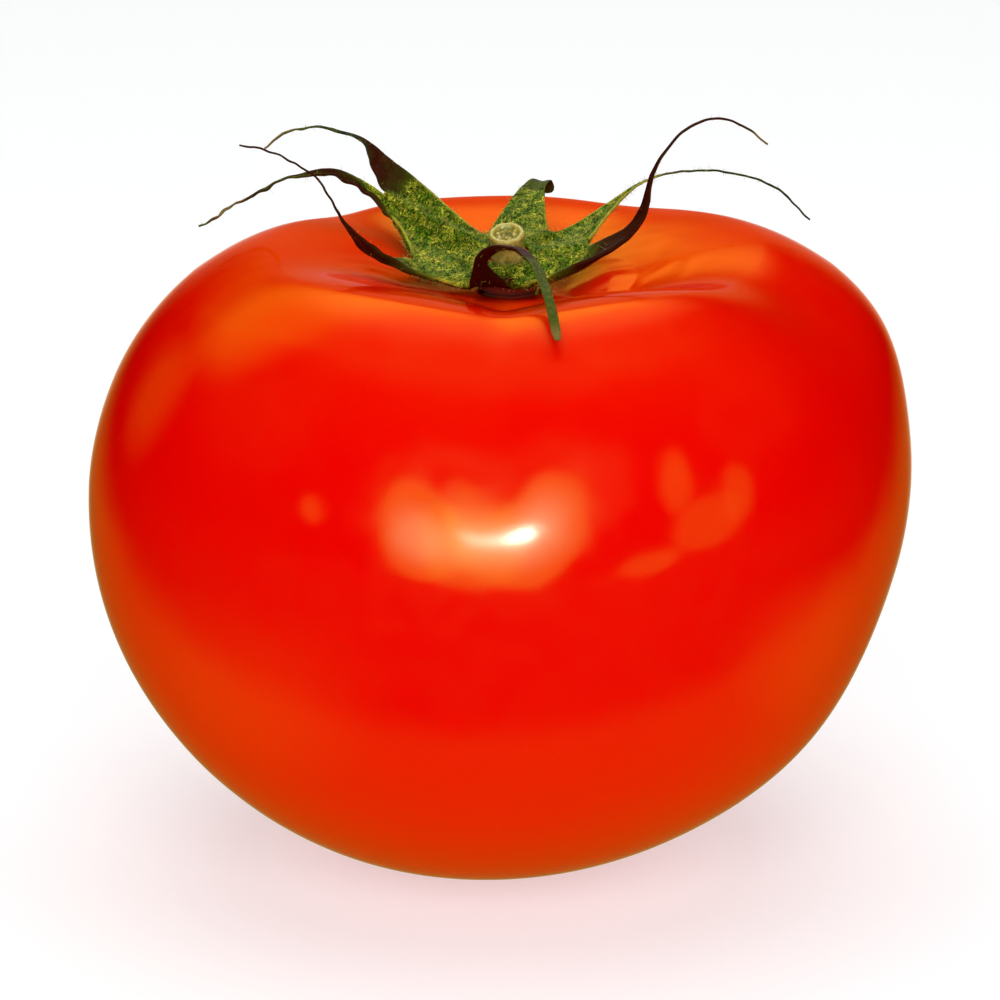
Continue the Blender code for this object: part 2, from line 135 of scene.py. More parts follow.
class Nodes:
    """A tree of nodes, with short calls for the nodes that the finishes and the room are made of."""

    def __init__(self, tree: bpy.types.NodeTree) -> None:
        """Takes the tree that the nodes go into."""
        self.tree = tree

    def fill(self, node: bpy.types.Node, inputs: dict[str | int, object]) -> None:
        """Fills a node's sockets.

        Args:
            node: The node.
            inputs: Another node's socket, which is linked, or a plain value, by name or number.
        """
        for socket, value in inputs.items():
            if isinstance(value, Socket):
                self.tree.links.new(value, node.inputs[socket])
            else:
                node.inputs[socket].default_value = value

    def add(
        self, kind: str, inputs: dict[str | int, object] | None = None, **settings: object
    ) -> bpy.types.Node:
        """A new node.

        Args:
            kind: The node's type name.
            inputs: What goes into its sockets.
            **settings: Values for the node's own properties.

        Returns:
            The new node.
        """
        node = self.tree.nodes.new(kind)
        for setting, value in settings.items():
            setattr(node, setting, value)
        self.fill(node, inputs or {})
        return node

    def attribute(self, name: str, output: str = "Fac") -> Socket:
        """A value or colour that is stored on the mesh."""
        return self.add("ShaderNodeAttribute", attribute_name=name).outputs[output]

    def place(self) -> Socket:
        """The place on the object, in metres."""
        return self.add("ShaderNodeTexCoord").outputs["Object"]

    def cloud(self, scale: float, detail: float, distortion: float = 0.0) -> Socket:
        """Soft noise.

        Args:
            scale: Waves per metre.
            detail: How many finer layers lie on it.
            distortion: How much it is stirred.

        Returns:
            The noise, from 0 to 1.
        """
        inputs = {"Scale": scale, "Detail": detail, "Distortion": distortion, "Vector": self.place()}
        return self.add("ShaderNodeTexNoise", inputs).outputs["Fac"]

    def spots(self, scale: float) -> Socket:
        """The distance to the nearest of many scattered spots, of which there are scale to a metre."""
        inputs = {"Scale": scale, "Vector": self.place()}
        return self.add("ShaderNodeTexVoronoi", inputs, feature="F1").outputs["Distance"]

    def ramp(
        self, value: Socket, low: float, high: float, start: float = 0.0, end: float = 1.0
    ) -> Socket:
        """A value eased from start at low to end at high.

        Args:
            value: The value to read.
            low: Where the result is start.
            high: Where the result is end.
            start: The result at low.
            end: The result at high.

        Returns:
            The eased value.
        """
        inputs = {"From Min": low, "From Max": high, "To Min": start, "To Max": end, "Value": value}
        return self.add("ShaderNodeMapRange", inputs, interpolation_type="SMOOTHSTEP").outputs["Result"]

    def share(self, value: Socket, most: float) -> Socket:
        """A value from 0 to 1, eased and brought down to the given most."""
        return self.ramp(value, 0.0, 1.0, 0.0, most)

    def threads(self, scale: float, width: float) -> Socket:
        """Thin winding lines, which are 1 along their middle.

        Args:
            scale: Turns per metre.
            width: Half their width, as a difference in the noise that they follow.

        Returns:
            How near a line is, from 0 to 1.
        """
        winding = self.cloud(scale, 1.0, 1.4)
        rising = self.ramp(winding, 0.5 - width, 0.5)
        return self.product(rising, self.ramp(winding, 0.5, 0.5 + width, 1.0, 0.0))

    def product(self, first: Socket, second: Socket, operation: str = "MULTIPLY") -> Socket:
        """Two values multiplied, or joined in another way."""
        return self.add("ShaderNodeMath", {0: first, 1: second}, operation=operation).outputs["Value"]

    def mix(self, share: Socket, first: Socket | Colour, second: Socket | Colour) -> Socket:
        """A colour between two others.

        Args:
            share: How much of the second there is.
            first: A colour, or a socket that gives one.
            second: A colour, or a socket that gives one.

        Returns:
            The mixed colour.
        """
        inputs = {"Factor": share}
        for number, colour in ((6, first), (7, second)):
            inputs[number] = (*colour, 1.0) if isinstance(colour, tuple) else colour
        return self.add("ShaderNodeMix", inputs, data_type="RGBA").outputs[2]


class Surface(Nodes):
    """A material's nodes, round its own shader."""

    def __init__(self, name: str) -> None:
        """Starts a material of the given name."""
        self.material = bpy.data.materials.new(name)
        self.material.use_nodes = True
        super().__init__(self.material.node_tree)
        self.shader = self.tree.nodes["Principled BSDF"]

    def set(self, **values: object) -> None:
        """Fills the shader's own sockets, with spaces in their names written as underscores."""
        self.fill(self.shader, {name.replace("_", " "): value for name, value in values.items()})

    def raise_relief(self, height: Socket, strength: float, distance: float) -> None:
        """Fine relief from a height.

        Args:
            height: The height, from 0 to 1.
            strength: How strongly it shows.
            distance: How high 1 is, in metres.
        """
        inputs = {"Strength": strength, "Distance": distance, "Height": height}
        self.set(Normal=self.add("ShaderNodeBump", inputs).outputs["Normal"])


@dataclass(frozen=True)
class SkinFinish:
    """The waxy skin of a ripe tomato, a clear yellow cuticle over red flesh."""

    red: Colour = (0.78, 0.0006, 0.0002)
    orange: Colour = (0.74, 0.030, 0.0010)
    # Painted reflection: a pale pink haze laid round the stem hollow in place of the bright room's shine.
    painted_reflection: Colour = (0.64, 0.145, 0.085)
    speck: Colour = (0.84, 0.15, 0.03)
    scar: Colour = (0.20, 0.11, 0.03)
    cuticle: Colour = (0.985, 0.71, 0.16)
    patch_share: float = 0.05
    painted_reflection_share: float = 0.62
    speck_share: float = 0.30
    specks_per_metre: float = 1900.0
    roughness: tuple[float, float] = (0.10, 0.15)
    rougher_at_hollow: float = 0.08
    light_depth: float = 1.6 * MM
    grain_height: float = 0.03 * MM

    def build(self) -> bpy.types.Material:
        """The material, with its specks, its paler shoulder, a painted pale pink reflection round the stem
        hollow and its corky scars.
        """
        nodes = Surface("tomato_skin")
        patches = nodes.ramp(nodes.cloud(70.0, 3.0), 0.35, 0.75)
        uneven = nodes.ramp(nodes.cloud(150.0, 4.0), 0.2, 0.8, 0.35, 1.0)
        shoulder = nodes.product(nodes.attribute("shoulder"), uneven)
        colour = nodes.mix(nodes.share(patches, self.patch_share), self.red, self.orange)
        colour = nodes.mix(shoulder, colour, self.orange)
        near_hollow = nodes.ramp(nodes.attribute("shoulder"), 0.15, 0.42)
        clouded = nodes.ramp(nodes.cloud(130.0, 2.0), 0.30, 0.62, 0.35, 1.0)
        # Painted reflection round the stem hollow, strongest towards the front left, broken up by soft noise.
        reflection_mask = nodes.product(nodes.attribute("bloom"), clouded)
        colour = nodes.mix(nodes.share(reflection_mask, self.painted_reflection_share), colour, self.painted_reflection)
        specks = nodes.ramp(nodes.spots(self.specks_per_metre), 0.05, 0.17, 1.0, 0.0)
        scattered = nodes.product(specks, nodes.ramp(nodes.cloud(260.0, 2.0), 0.5, 0.7))
        colour = nodes.mix(nodes.share(scattered, self.speck_share), colour, self.speck)
        cracked = nodes.ramp(nodes.cloud(1800.0, 4.0), 0.25, 0.6, 0.4, 1.0)
        colour = nodes.mix(nodes.product(nodes.attribute("cork"), cracked), colour, self.scar)
        gloss = nodes.ramp(nodes.cloud(420.0, 3.0), 0.3, 0.7, *self.roughness)
        duller = nodes.product(gloss, nodes.share(near_hollow, self.rougher_at_hollow), "ADD")
        nodes.raise_relief(nodes.cloud(2600.0, 2.0), 0.10, self.grain_height)
        nodes.set(Base_Color=colour, Roughness=duller, IOR=1.46)
        nodes.set(Subsurface_Weight=0.10, Subsurface_Radius=(1.0, 0.12, 0.04))
        nodes.set(Subsurface_Scale=self.light_depth)
        nodes.set(Coat_Weight=1.0, Coat_IOR=1.02, Coat_Roughness=0.05, Coat_Tint=(*self.cuticle, 1.0))
        return nodes.material


@dataclass(frozen=True)
class LeafFinish:
    """The hairy green leaf of the calyx, netted with pale veins and brown where it has dried."""

    vein: Colour = (0.66, 0.58, 0.050)
    shade: float = 0.13
    vein_share: float = 0.9
    roughness: tuple[float, float] = (0.62, 0.42)
    relief_height: float = 0.10 * MM

    def build(self) -> bpy.types.Material:
        """The material, which takes its main colour from the mesh."""
        nodes = Surface("calyx_leaf")
        tone, fresh = nodes.attribute("tone", "Color"), nodes.attribute("fresh")
        grain = nodes.ramp(nodes.cloud(4200.0, 2.0), 0.42, 0.58)
        mottled = nodes.product(grain, nodes.ramp(nodes.cloud(800.0, 4.0, 0.6), 0.3, 0.7, 0.45, 1.0))
        inputs = {"Factor": 1.0, 6: tone, 7: (self.shade, self.shade, self.shade, 1.0)}
        dark = nodes.add("ShaderNodeMix", inputs, data_type="RGBA", blend_type="MULTIPLY")
        mottled = nodes.product(mottled, nodes.ramp(fresh, 0.0, 0.6, 0.55, 0.0), "MAXIMUM")
        colour = nodes.mix(mottled, dark.outputs[2], tone)
        curls = nodes.product(nodes.threads(1700.0, 0.045), nodes.ramp(nodes.cloud(900.0, 3.0), 0.44, 0.56))
        faint = nodes.ramp(nodes.cloud(1300.0, 3.0), 0.42, 0.60, 0.0, 0.7)
        fine = nodes.product(nodes.threads(3300.0, 0.060), faint)
        veins = nodes.product(nodes.product(curls, fine, "MAXIMUM"), fresh)
        colour = nodes.mix(nodes.share(veins, self.vein_share), colour, self.vein)
        colour = nodes.mix(nodes.attribute("rim"), colour, self.vein)
        nodes.raise_relief(nodes.cloud(2400.0, 4.0, 0.8), 0.55, self.relief_height)
        nodes.set(Base_Color=colour, Roughness=nodes.ramp(mottled, 0.0, 1.0, *self.roughness))
        nodes.set(IOR=1.13, Specular_Tint=(1.0, 0.9, 0.15, 1.0))
        return nodes.material


@dataclass(frozen=True)
class StemFinish:
    """The cut stem: green rind outside, a pale ring and moist fibres on the cut, and below the calyx a dark
    maroon foot in painted shadow.
    """

    rind: Colour = (0.17, 0.165, 0.009)
    ring: Colour = (0.53, 0.42, 0.10)
    fibre: Colour = (0.12, 0.105, 0.006)
    # Below the calyx: the receptacle's dark maroon, darkened further as painted shadow cast by the calyx.
    foot: Colour = (0.26, 0.008, 0.002)
    roughness: tuple[float, float] = (0.40, 0.18)
    relief_height: float = 0.10 * MM

    def build(self) -> bpy.types.Material:
        """The material, which is told the cut from the rind by the mesh."""
        nodes = Surface("cut_stem")
        grain = nodes.ramp(nodes.cloud(1900.0, 4.0, 1.2), 0.3, 0.7)
        rind = nodes.mix(grain, self.rind, self.ring)
        fibres = nodes.mix(nodes.ramp(nodes.spots(2600.0), 0.15, 0.6), self.ring, self.fibre)
        cut = nodes.mix(nodes.attribute("bast"), fibres, self.ring)
        colour = nodes.mix(nodes.attribute("cut"), rind, cut)
        # Painted shadow: the part of the stub below the calyx turns dark maroon.
        colour = nodes.mix(nodes.attribute("foot"), colour, self.foot)
        moist = nodes.ramp(grain, 0.0, 1.0, *self.roughness)
        nodes.raise_relief(nodes.cloud(3200.0, 4.0, 1.0), 0.6, self.relief_height)
        nodes.set(Base_Color=colour, Roughness=nodes.product(moist, nodes.attribute("foot"), "MAXIMUM"))
        nodes.set(IOR=1.40, Specular_Tint=(1.0, 0.95, 0.35, 1.0))
        return nodes.material


@dataclass(frozen=True)
class HairFinish:
    """Fine pale hairs."""

    pale: Colour = (0.52, 0.54, 0.12)
    golden: Colour = (0.40, 0.34, 0.06)

    def build(self) -> bpy.types.Material:
        """The material, paler and yellower from hair to hair."""
        nodes = Surface("calyx_hair")
        nodes.set(Base_Color=nodes.mix(nodes.cloud(500.0, 2.0), self.pale, self.golden))
        nodes.set(Roughness=0.45, IOR=1.4, Specular_Tint=(1.0, 0.95, 0.3, 1.0))
        return nodes.material


def new_mesh(
    name: str, points: list[Vector] | list[Spot], faces: list[tuple[int, ...]], **layers: list[float]
) -> bpy.types.Mesh:
    """A mesh with values stored on its points, for its material to read.

    Args:
        name: The mesh's name.
        points: Its points.
        faces: The numbers of the points round each face.
        **layers: One number for each point, by the name that the material reads.

    Returns:
        The mesh.
    """
    mesh = bpy.data.meshes.new(name)
    mesh.from_pydata([tuple(point) for point in points], [], faces)
    for layer, values in layers.items():
        mesh.attributes.new(layer, "FLOAT", "POINT").data.foreach_set("value", values)
    return mesh


def turned_faces(turns: int, count: int) -> list[tuple[int, ...]]:
    """The faces of a closed turned form, whose points run ring by ring from one end to the other.

    Args:
        turns: How many points a ring has.
        count: How many points there are, with one at each end.

    Returns:
        The numbers of the points round each face.
    """
    last = count - 1
    faces = []
    for ring in range((count - 2) // turns - 1):
        upper, lower = 1 + ring * turns, 1 + (ring + 1) * turns
        for turn in range(turns):
            after = (turn + 1) % turns
            faces.append((upper + turn, lower + turn, lower + after, upper + after))
    for turn in range(turns):
        after = (turn + 1) % turns
        faces.append((0, 1 + turn, 1 + after))
        faces.append((last, last - turns + after, last - turns + turn))
    return faces


def make_piece(name: str, mesh: bpy.types.Mesh, finish: bpy.types.Material) -> bpy.types.Object:
    """A finished piece that rides on the tomato.

    Args:
        name: The piece's name.
        mesh: Its mesh, in place.
        finish: Its material.

    Returns:
        The new object.
    """
    piece = bpy.data.objects.new(name, mesh)
    mesh.materials.append(finish)
    mesh.shade_smooth()
    bpy.context.scene.collection.objects.link(piece)
    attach(piece, "root")
    return piece


@dataclass(frozen=True)
class Furrow:
    """A valley between two lobes, in degrees and millimetres."""

    azimuth: float
    depth: float
    spread: float


@dataclass(frozen=True)
class Swell:
    """A place on the side where the fruit is fuller or, below zero, flatter, in degrees and millimetres."""

    azimuth: float
    height: float
    reach: float
    amount: float


@dataclass(frozen=True)
class Fruit:
    """The tomato itself: a turned form with furrows and swells, a stem hollow and a blossom end."""

    radius: float = 40.0 * MM
    depth_to_width: float = 0.96
    equator: float = 36.9 * MM
    shoulder: float = 60.4 * MM
    shoulder_radius: float = 23.6 * MM
    base_radius: float = 10.5 * MM
    lean: float = 0.043
    hollow_depth: float = 4.6 * MM
    belly_powers: tuple[float, float] = (1.34, 0.97)
    shoulder_powers: tuple[float, float] = (1.26, 1.05)
    dimple_radius: float = 3.5 * MM
    dimple_depth: float = 0.9 * MM
    pit_radius: float = 3.0 * MM
    pit_depth: float = 1.3 * MM
    pit_rings: tuple[float, ...] = (0.3, 0.55, 0.8, 0.93)
    crest_passes: int = 30
    crest_width: float = 7.0 * MM
    turns: int = 360
    hollow_steps: int = 52
    side_steps: int = 66
    dimple_steps: int = 14
    skin_wave: float = 0.07 * MM
    # How far the painted reflection round the stem hollow reaches, and the azimuth where it is strongest.
    bloom_radius: float = 25.0 * MM
    bloom_azimuth: float = math.radians(-125.0)
    furrows: tuple[Furrow, ...] = (
        Furrow(-92.0, 1.6, 20.0),
        Furrow(-93.0, 0.35, 5.5),
        Furrow(-20.0, 2.2, 22.0),
        Furrow(60.0, 0.7, 16.0),
        Furrow(135.0, 0.7, 12.0),
        Furrow(198.0, 0.5, 17.0),
    )
    swells: tuple[Swell, ...] = (
        Swell(0.0, 10.0, 8.0, 1.0),
        Swell(0.0, 28.0, 9.0, -0.55),
        Swell(20.0, 54.0, 9.0, 2.2),
        Swell(90.0, 54.0, 9.0, -2.5),
        Swell(180.0, 54.0, 9.0, 0.4),
    )

    @property
    def hollow_floor(self) -> float:
        """Height of the stem hollow's floor."""
        return self.shoulder - self.hollow_depth

    def profile(self) -> list[tuple[float, float]]:
        """Radius and height of the outline with no lobes, from the pit's middle to the blossom end's."""
        pit_floor = self.hollow_floor - self.pit_depth
        points = [(share * self.pit_radius, pit_floor) for share in (0.0, *self.pit_rings)]
        for step in range(self.hollow_steps):
            radius = blend(self.pit_radius, self.shoulder_radius, step / self.hollow_steps)
            sunk = (1.0 + math.cos(math.pi * radius / self.shoulder_radius)) / 2
            points.append((radius, self.shoulder - self.hollow_depth * sunk))
        for step in range(self.side_steps):
            turn = math.pi / 2 * (1.0 - step / self.side_steps)
            reach = math.cos(turn) ** self.shoulder_powers[0] if step else 0.0
            rise = math.sin(turn) ** self.shoulder_powers[1]
            radius = blend(self.shoulder_radius, self.radius, reach)
            points.append((radius, blend(self.equator, self.shoulder, rise)))
        for step in range(self.side_steps):
            turn = math.pi / 2 * (1.0 - step / self.side_steps)
            reach = math.sin(turn) ** self.belly_powers[0]
            drop = math.cos(turn) ** self.belly_powers[1] if step else 0.0
            points.append((blend(self.base_radius, self.radius, reach), self.equator * (1.0 - drop)))
        for _ in range(self.crest_passes):
            eased = [sum(point[1] for point in points[at - 1:at + 2]) / 3 for at in range(1, len(points) - 1)]
            for at, height in enumerate(eased, 1):
                radius = points[at][0]
                if abs(radius - self.shoulder_radius) < self.crest_width and height > self.equator:
                    points[at] = (radius, height)
        points.append((self.base_radius, 0.0))
        for step in range(self.dimple_steps + 1):
            share = 1.0 - step / self.dimple_steps
            height = self.dimple_depth * (1.0 + math.cos(math.pi * share)) / 2
            points.append((self.dimple_radius * share, height))
        return points

    def furrow_depth(self, azimuth: float) -> float:
        """How deep the furrows are at an azimuth in degrees, where the shoulder is highest."""
        gaps = [((azimuth - furrow.azimuth + 180.0) % 360.0 - 180.0, furrow) for furrow in self.furrows]
        return sum(furrow.depth * MM * math.exp(-((gap / furrow.spread) ** 2)) for gap, furrow in gaps)

    def swell_amount(self, azimuth: float, height: float) -> float:
        """How far the side stands out past a turned form.

        Args:
            azimuth: The azimuth, in degrees.
            height: The height, in metres.

        Returns:
            The distance outwards, in metres.
        """
        amount = 0.0
        for swell in self.swells:
            facing = max(0.0, math.cos(math.radians(azimuth - swell.azimuth))) ** 2
            nearness = math.exp(-(((height / MM - swell.height) / swell.reach) ** 2))
            amount += swell.amount * MM * facing * nearness
        return amount

    def wrinkle(self, point: Vector, radius: float, azimuth: float) -> float:
        """Low relief of the living skin: slow waves all over and short creases that run out of the hollow."""
        grounded = smooth_step(0.5 * MM, 8.0 * MM, point.z)
        slow = waviness(point, 9.0 * MM, 3.1) + 0.35 * waviness(point, 4.0 * MM, 7.7)
        turn = math.radians(azimuth)
        round_hollow = Vector((math.cos(turn), math.sin(turn), 0.06 * radius / MM)) * 3.4
        crease = noise.noise(round_hollow * 2.6 + Vector((5.0, 1.0, 2.0)))
        near = smooth_step(4.0 * MM, 8.0 * MM, radius) * (1.0 - smooth_step(12.0 * MM, 22.0 * MM, radius))
        on_top = smooth_step(self.equator, self.hollow_floor, point.z)
        return self.skin_wave * grounded * (0.45 * slow + 0.7 * near * on_top * crease)

    def shaped(self, point: Vector) -> Vector:
        """Where a point of the turned form goes.

        Args:
            point: A point of the turned form.

        Returns:
            The point with the furrows pressed in, the side swollen, the axis leaning and the skin uneven.
        """
        radius = math.hypot(point.x, point.y)
        azimuth = math.degrees(math.atan2(point.y, point.x))
        heart = Vector((0.0, 0.0, self.equator))
        on_shoulder = smooth_step(0.8 * self.equator, self.shoulder, point.z)
        off_the_pit = smooth_step(1.3, 3.5, radius / self.pit_radius)
        pressed = self.furrow_depth(azimuth) * on_shoulder * off_the_pit
        inward = (heart - point).normalized()
        moved = point + inward * (pressed + self.wrinkle(point, radius, azimuth) * off_the_pit)
        if radius > self.base_radius:
            fuller = 1.0 + self.swell_amount(azimuth, point.z) / radius
            moved.x *= fuller
            moved.y *= fuller
        moved.y *= self.depth_to_width
        moved.x += self.lean * (point.z - self.equator)
        return moved

    def fit_to_node(self, points: list[Vector]) -> None:
        """Brings the points to the width and depth of the solid that they stand for."""
        low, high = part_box("fruit")
        for axis in (0, 1):
            least = min(point[axis] for point in points)
            most = max(point[axis] for point in points)
            scale = (high[axis] - low[axis]) / (most - least)
            for point in points:
                point[axis] = low[axis] + (point[axis] - least) * scale

    def build(self) -> bpy.types.Object:
        """The fruit's finished piece."""
        profile = self.profile()
        points, shoulder, cork, bloom = [], [], [], []
        rings = profile[1:-1]
        for radius, height in (profile[0], *rings, profile[-1]):
            around = self.turns if radius else 1
            paler = smooth_step(0.78 * self.shoulder, self.shoulder, height) * 0.42
            scar = 0.85 * (1.0 - smooth_step(0.8 * self.pit_radius, 1.5 * self.pit_radius, radius))
            if height < self.equator:
                scar = 0.9 * (1.0 - smooth_step(0.25 * self.dimple_radius, 0.75 * self.dimple_radius, radius))
            # The share of painted reflection at this ring, which fades out from the stem hollow.
            reflection_near_hollow = (1.0 - smooth_step(9.0 * MM, self.bloom_radius, radius)) if height > self.equator else 0.0
            for turn in range(around):
                angle = math.tau * turn / self.turns
                turned = Vector((radius * math.cos(angle), radius * math.sin(angle), height))
                points.append(self.shaped(turned))
                shoulder.append(paler)
                cork.append(scar)
                bloom.append(reflection_near_hollow * (0.65 + 0.35 * math.cos(angle - self.bloom_azimuth)))
        self.fit_to_node(points)
        faces = turned_faces(self.turns, len(points))
        mesh = new_mesh("fruit_skin", points, faces, shoulder=shoulder, cork=cork, bloom=bloom)
        piece = make_piece("fruit_skin", mesh, SkinFinish().build())
        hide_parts("fruit")
        return piece


@dataclass(frozen=True)
class Stem:
    """The cut stub of stem, which bends forward as it leaves the fruit."""

    radius: float = 1.7 * MM
    foot_radius: float = 2.5 * MM
    collar_radius: float = 3.4 * MM
    foot_gap: float = 0.35 * MM
    above_calyx: float = 2.7 * MM
    cut_dish: float = 0.35 * MM
    lean: float = math.radians(22.0)
    lean_azimuth: float = math.radians(-100.0)
    calyx_height: float = 4.0 * MM
    turns: int = 96
    steps_between: int = 6
    rib_count: int = 9
    rib_height: float = 0.05 * MM
    inset: float = 0.03 * MM
    raggedness: float = 0.10 * MM
    offset: Spot = (0.115 * MM, -0.079 * MM, 0.0)
    fruit: Fruit = Fruit()

    @property
    def root(self) -> Vector:
        """Where the stem's axis leaves the floor of the fruit's hollow."""
        height = self.fruit.hollow_floor
        return Vector((self.fruit.lean * (height - self.fruit.equator), 0.0, height)) + Vector(self.offset)

    def bent(self, point: Vector) -> Vector:
        """A point along the stem's curve.

        Args:
            point: A point round an upright stem, with its height above the hollow's floor.

        Returns:
            The point where the bent stem has it.
        """
        curve = self.lean / self.calyx_height
        angle = min(max(point.z, 0.0) * curve, self.lean)
        straight = point.z - angle / curve
        aside = (1.0 - math.cos(angle)) / curve + straight * math.sin(angle)
        rise = math.sin(angle) / curve + straight * math.cos(angle)
        ahead = Vector((math.cos(self.lean_azimuth), math.sin(self.lean_azimuth), 0.0))
        beside = Vector((-ahead.y, ahead.x, 0.0))
        along = point.x * ahead.x + point.y * ahead.y
        across = point.x * beside.x + point.y * beside.y
        toward = aside + along * math.cos(angle)
        return self.root + ahead * toward + beside * across + UP * (rise - along * math.sin(angle))

    def profile(self) -> list[tuple[float, float, float, float]]:
        """Radius, height above the hollow's floor, and shares of cut face and pale ring, top to bottom."""
        cut = self.calyx_height + self.above_calyx
        foot = -self.fruit.pit_depth + self.foot_gap
        return [
            (0.0, cut - 1.1 * self.cut_dish, 1.0, 0.0),
            (0.25 * self.radius, cut - 0.8 * self.cut_dish, 1.0, 0.0),
            (0.45 * self.radius, cut - 1.2 * self.cut_dish, 1.0, 0.2),
            (0.66 * self.radius, cut - 1.0 * self.cut_dish, 1.0, 0.1),
            (0.82 * self.radius, cut - 0.05 * self.cut_dish, 1.0, 0.9),
            (0.92 * self.radius, cut - 0.02 * MM, 1.0, 1.0),
            (1.0 * self.radius, cut - 0.2 * MM, 0.5, 1.0),
            (1.02 * self.radius, cut - 0.6 * MM, 0.0, 0.0),
            (0.97 * self.radius, cut - 1.4 * MM, 0.0, 0.0),
            (self.radius, cut - 2.3 * MM, 0.0, 0.0),
            (self.radius, self.calyx_height - 1.0 * MM, 0.0, 0.0),
            (1.15 * self.radius, self.calyx_height - 1.5 * MM, 0.0, 0.0),
            (0.95 * self.collar_radius, self.calyx_height - 2.0 * MM, 0.0, 0.0),
            (self.collar_radius, self.calyx_height - 2.5 * MM, 0.0, 0.0),
            (0.9 * self.collar_radius, 0.8 * MM, 0.0, 0.0),
            (self.foot_radius, 0.3 * MM, 0.0, 0.0),
            (0.96 * self.foot_radius, foot, 0.0, 0.0),
            (0.0, foot, 0.0, 0.0),
        ]

    def build(self) -> bpy.types.Object:
        """The stub's finished piece."""
        rows = []
        keys = self.profile()
        for before, after in zip(keys, keys[1:]):
            for step in range(self.steps_between):
                rows.append([blend(a, b, step / self.steps_between) for a, b in zip(before, after)])
        rows.append(list(keys[-1]))
        points, cuts, basts, painted_shade_feet = [], [], [], []
        for radius, height, cut, bast in rows:
            for turn in range(self.turns if radius else 1):
                angle = math.tau * turn / self.turns
                outward = Vector((math.cos(angle), math.sin(angle), 0.0))
                on_rind = smooth_step(0.3 * self.radius, self.radius, radius)
                ribbed = self.rib_height * math.cos(self.rib_count * angle + 1.0) * on_rind
                upright = outward * (radius - self.inset + ribbed * 0.5)
                upright.z = height
                rough = 0.5 * self.raggedness * waviness(upright, 0.7 * MM, 2.0)
                upright += outward * rough if radius else Vector()
                upright.z += self.raggedness * waviness(upright, 0.45 * MM, 5.0) * cut
                points.append(self.bent(upright))
                cuts.append(cut)
                basts.append(bast)
                # Painted shadow: 1 below the calyx, where the stub is coloured dark maroon.
                below = smooth_step(self.calyx_height - 1.4 * MM, self.calyx_height - 0.6 * MM, height)
                painted_shade_feet.append(1.0 - below)
        faces = turned_faces(self.turns, len(points))
        mesh = new_mesh("stem_end", points, faces, cut=cuts, bast=basts, foot=painted_shade_feet)
        piece = make_piece("stem_end", mesh, StemFinish().build())
        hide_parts("stem_stub")
        return piece


@dataclass(frozen=True)
class Sepal:
    """A pointed leaf of the calyx, given in millimetres from the middle of the calyx's hole.

    The route is its middle line, and the notch is where it parts from the next sepal. Its left and right
    edges are joined to the neighbours up to the shares in joined. Roll turns the blade about its middle
    line, in degrees at three places, and twist adds to that at given shares. Tones are its colours by share
    of its length, which slant makes start sooner on the left edge and later on the right. Thin is the width
    of its dried end next to that of the solid, and crumple is how much it is crinkled.
    """

    route: tuple[Spot, ...]
    notch: Spot
    joined: tuple[float, float]
    parting: float
    width: float
    tail: float
    narrows: tuple[float, float]
    roll: tuple[float, float, float]
    tones: tuple[tuple[float, Tone], ...]
    thin: float = 0.6
    crumple: float = 1.0
    slant: float = 0.0
    twist: tuple[tuple[float, float], ...] = ((0.0, 0.0), (1.0, 0.0))

    def rolled(self, share: float) -> float:
        """The blade's turn about its middle line at a share of its length, in radians."""
        start, middle, end = self.roll
        if share < 0.5:
            solid = blend(start, middle, smooth_step(0.0, 0.5, share))
        else:
            solid = blend(middle, end, smooth_step(0.5, 1.0, share))
        return math.radians(solid + keyed(self.twist, share))

    def half_width(self, share: float) -> float:
        """Half the blade's width at a share of its length, in metres."""
        narrowed = smooth_step(*self.narrows, share)
        across = blend(self.width, self.tail, narrowed) * blend(1.0, self.thin, narrowed)
        past_tip_start = max(0.0, share - 0.94) / 0.07
        return across * math.sqrt(1.0 - past_tip_start**2) * MM / 2


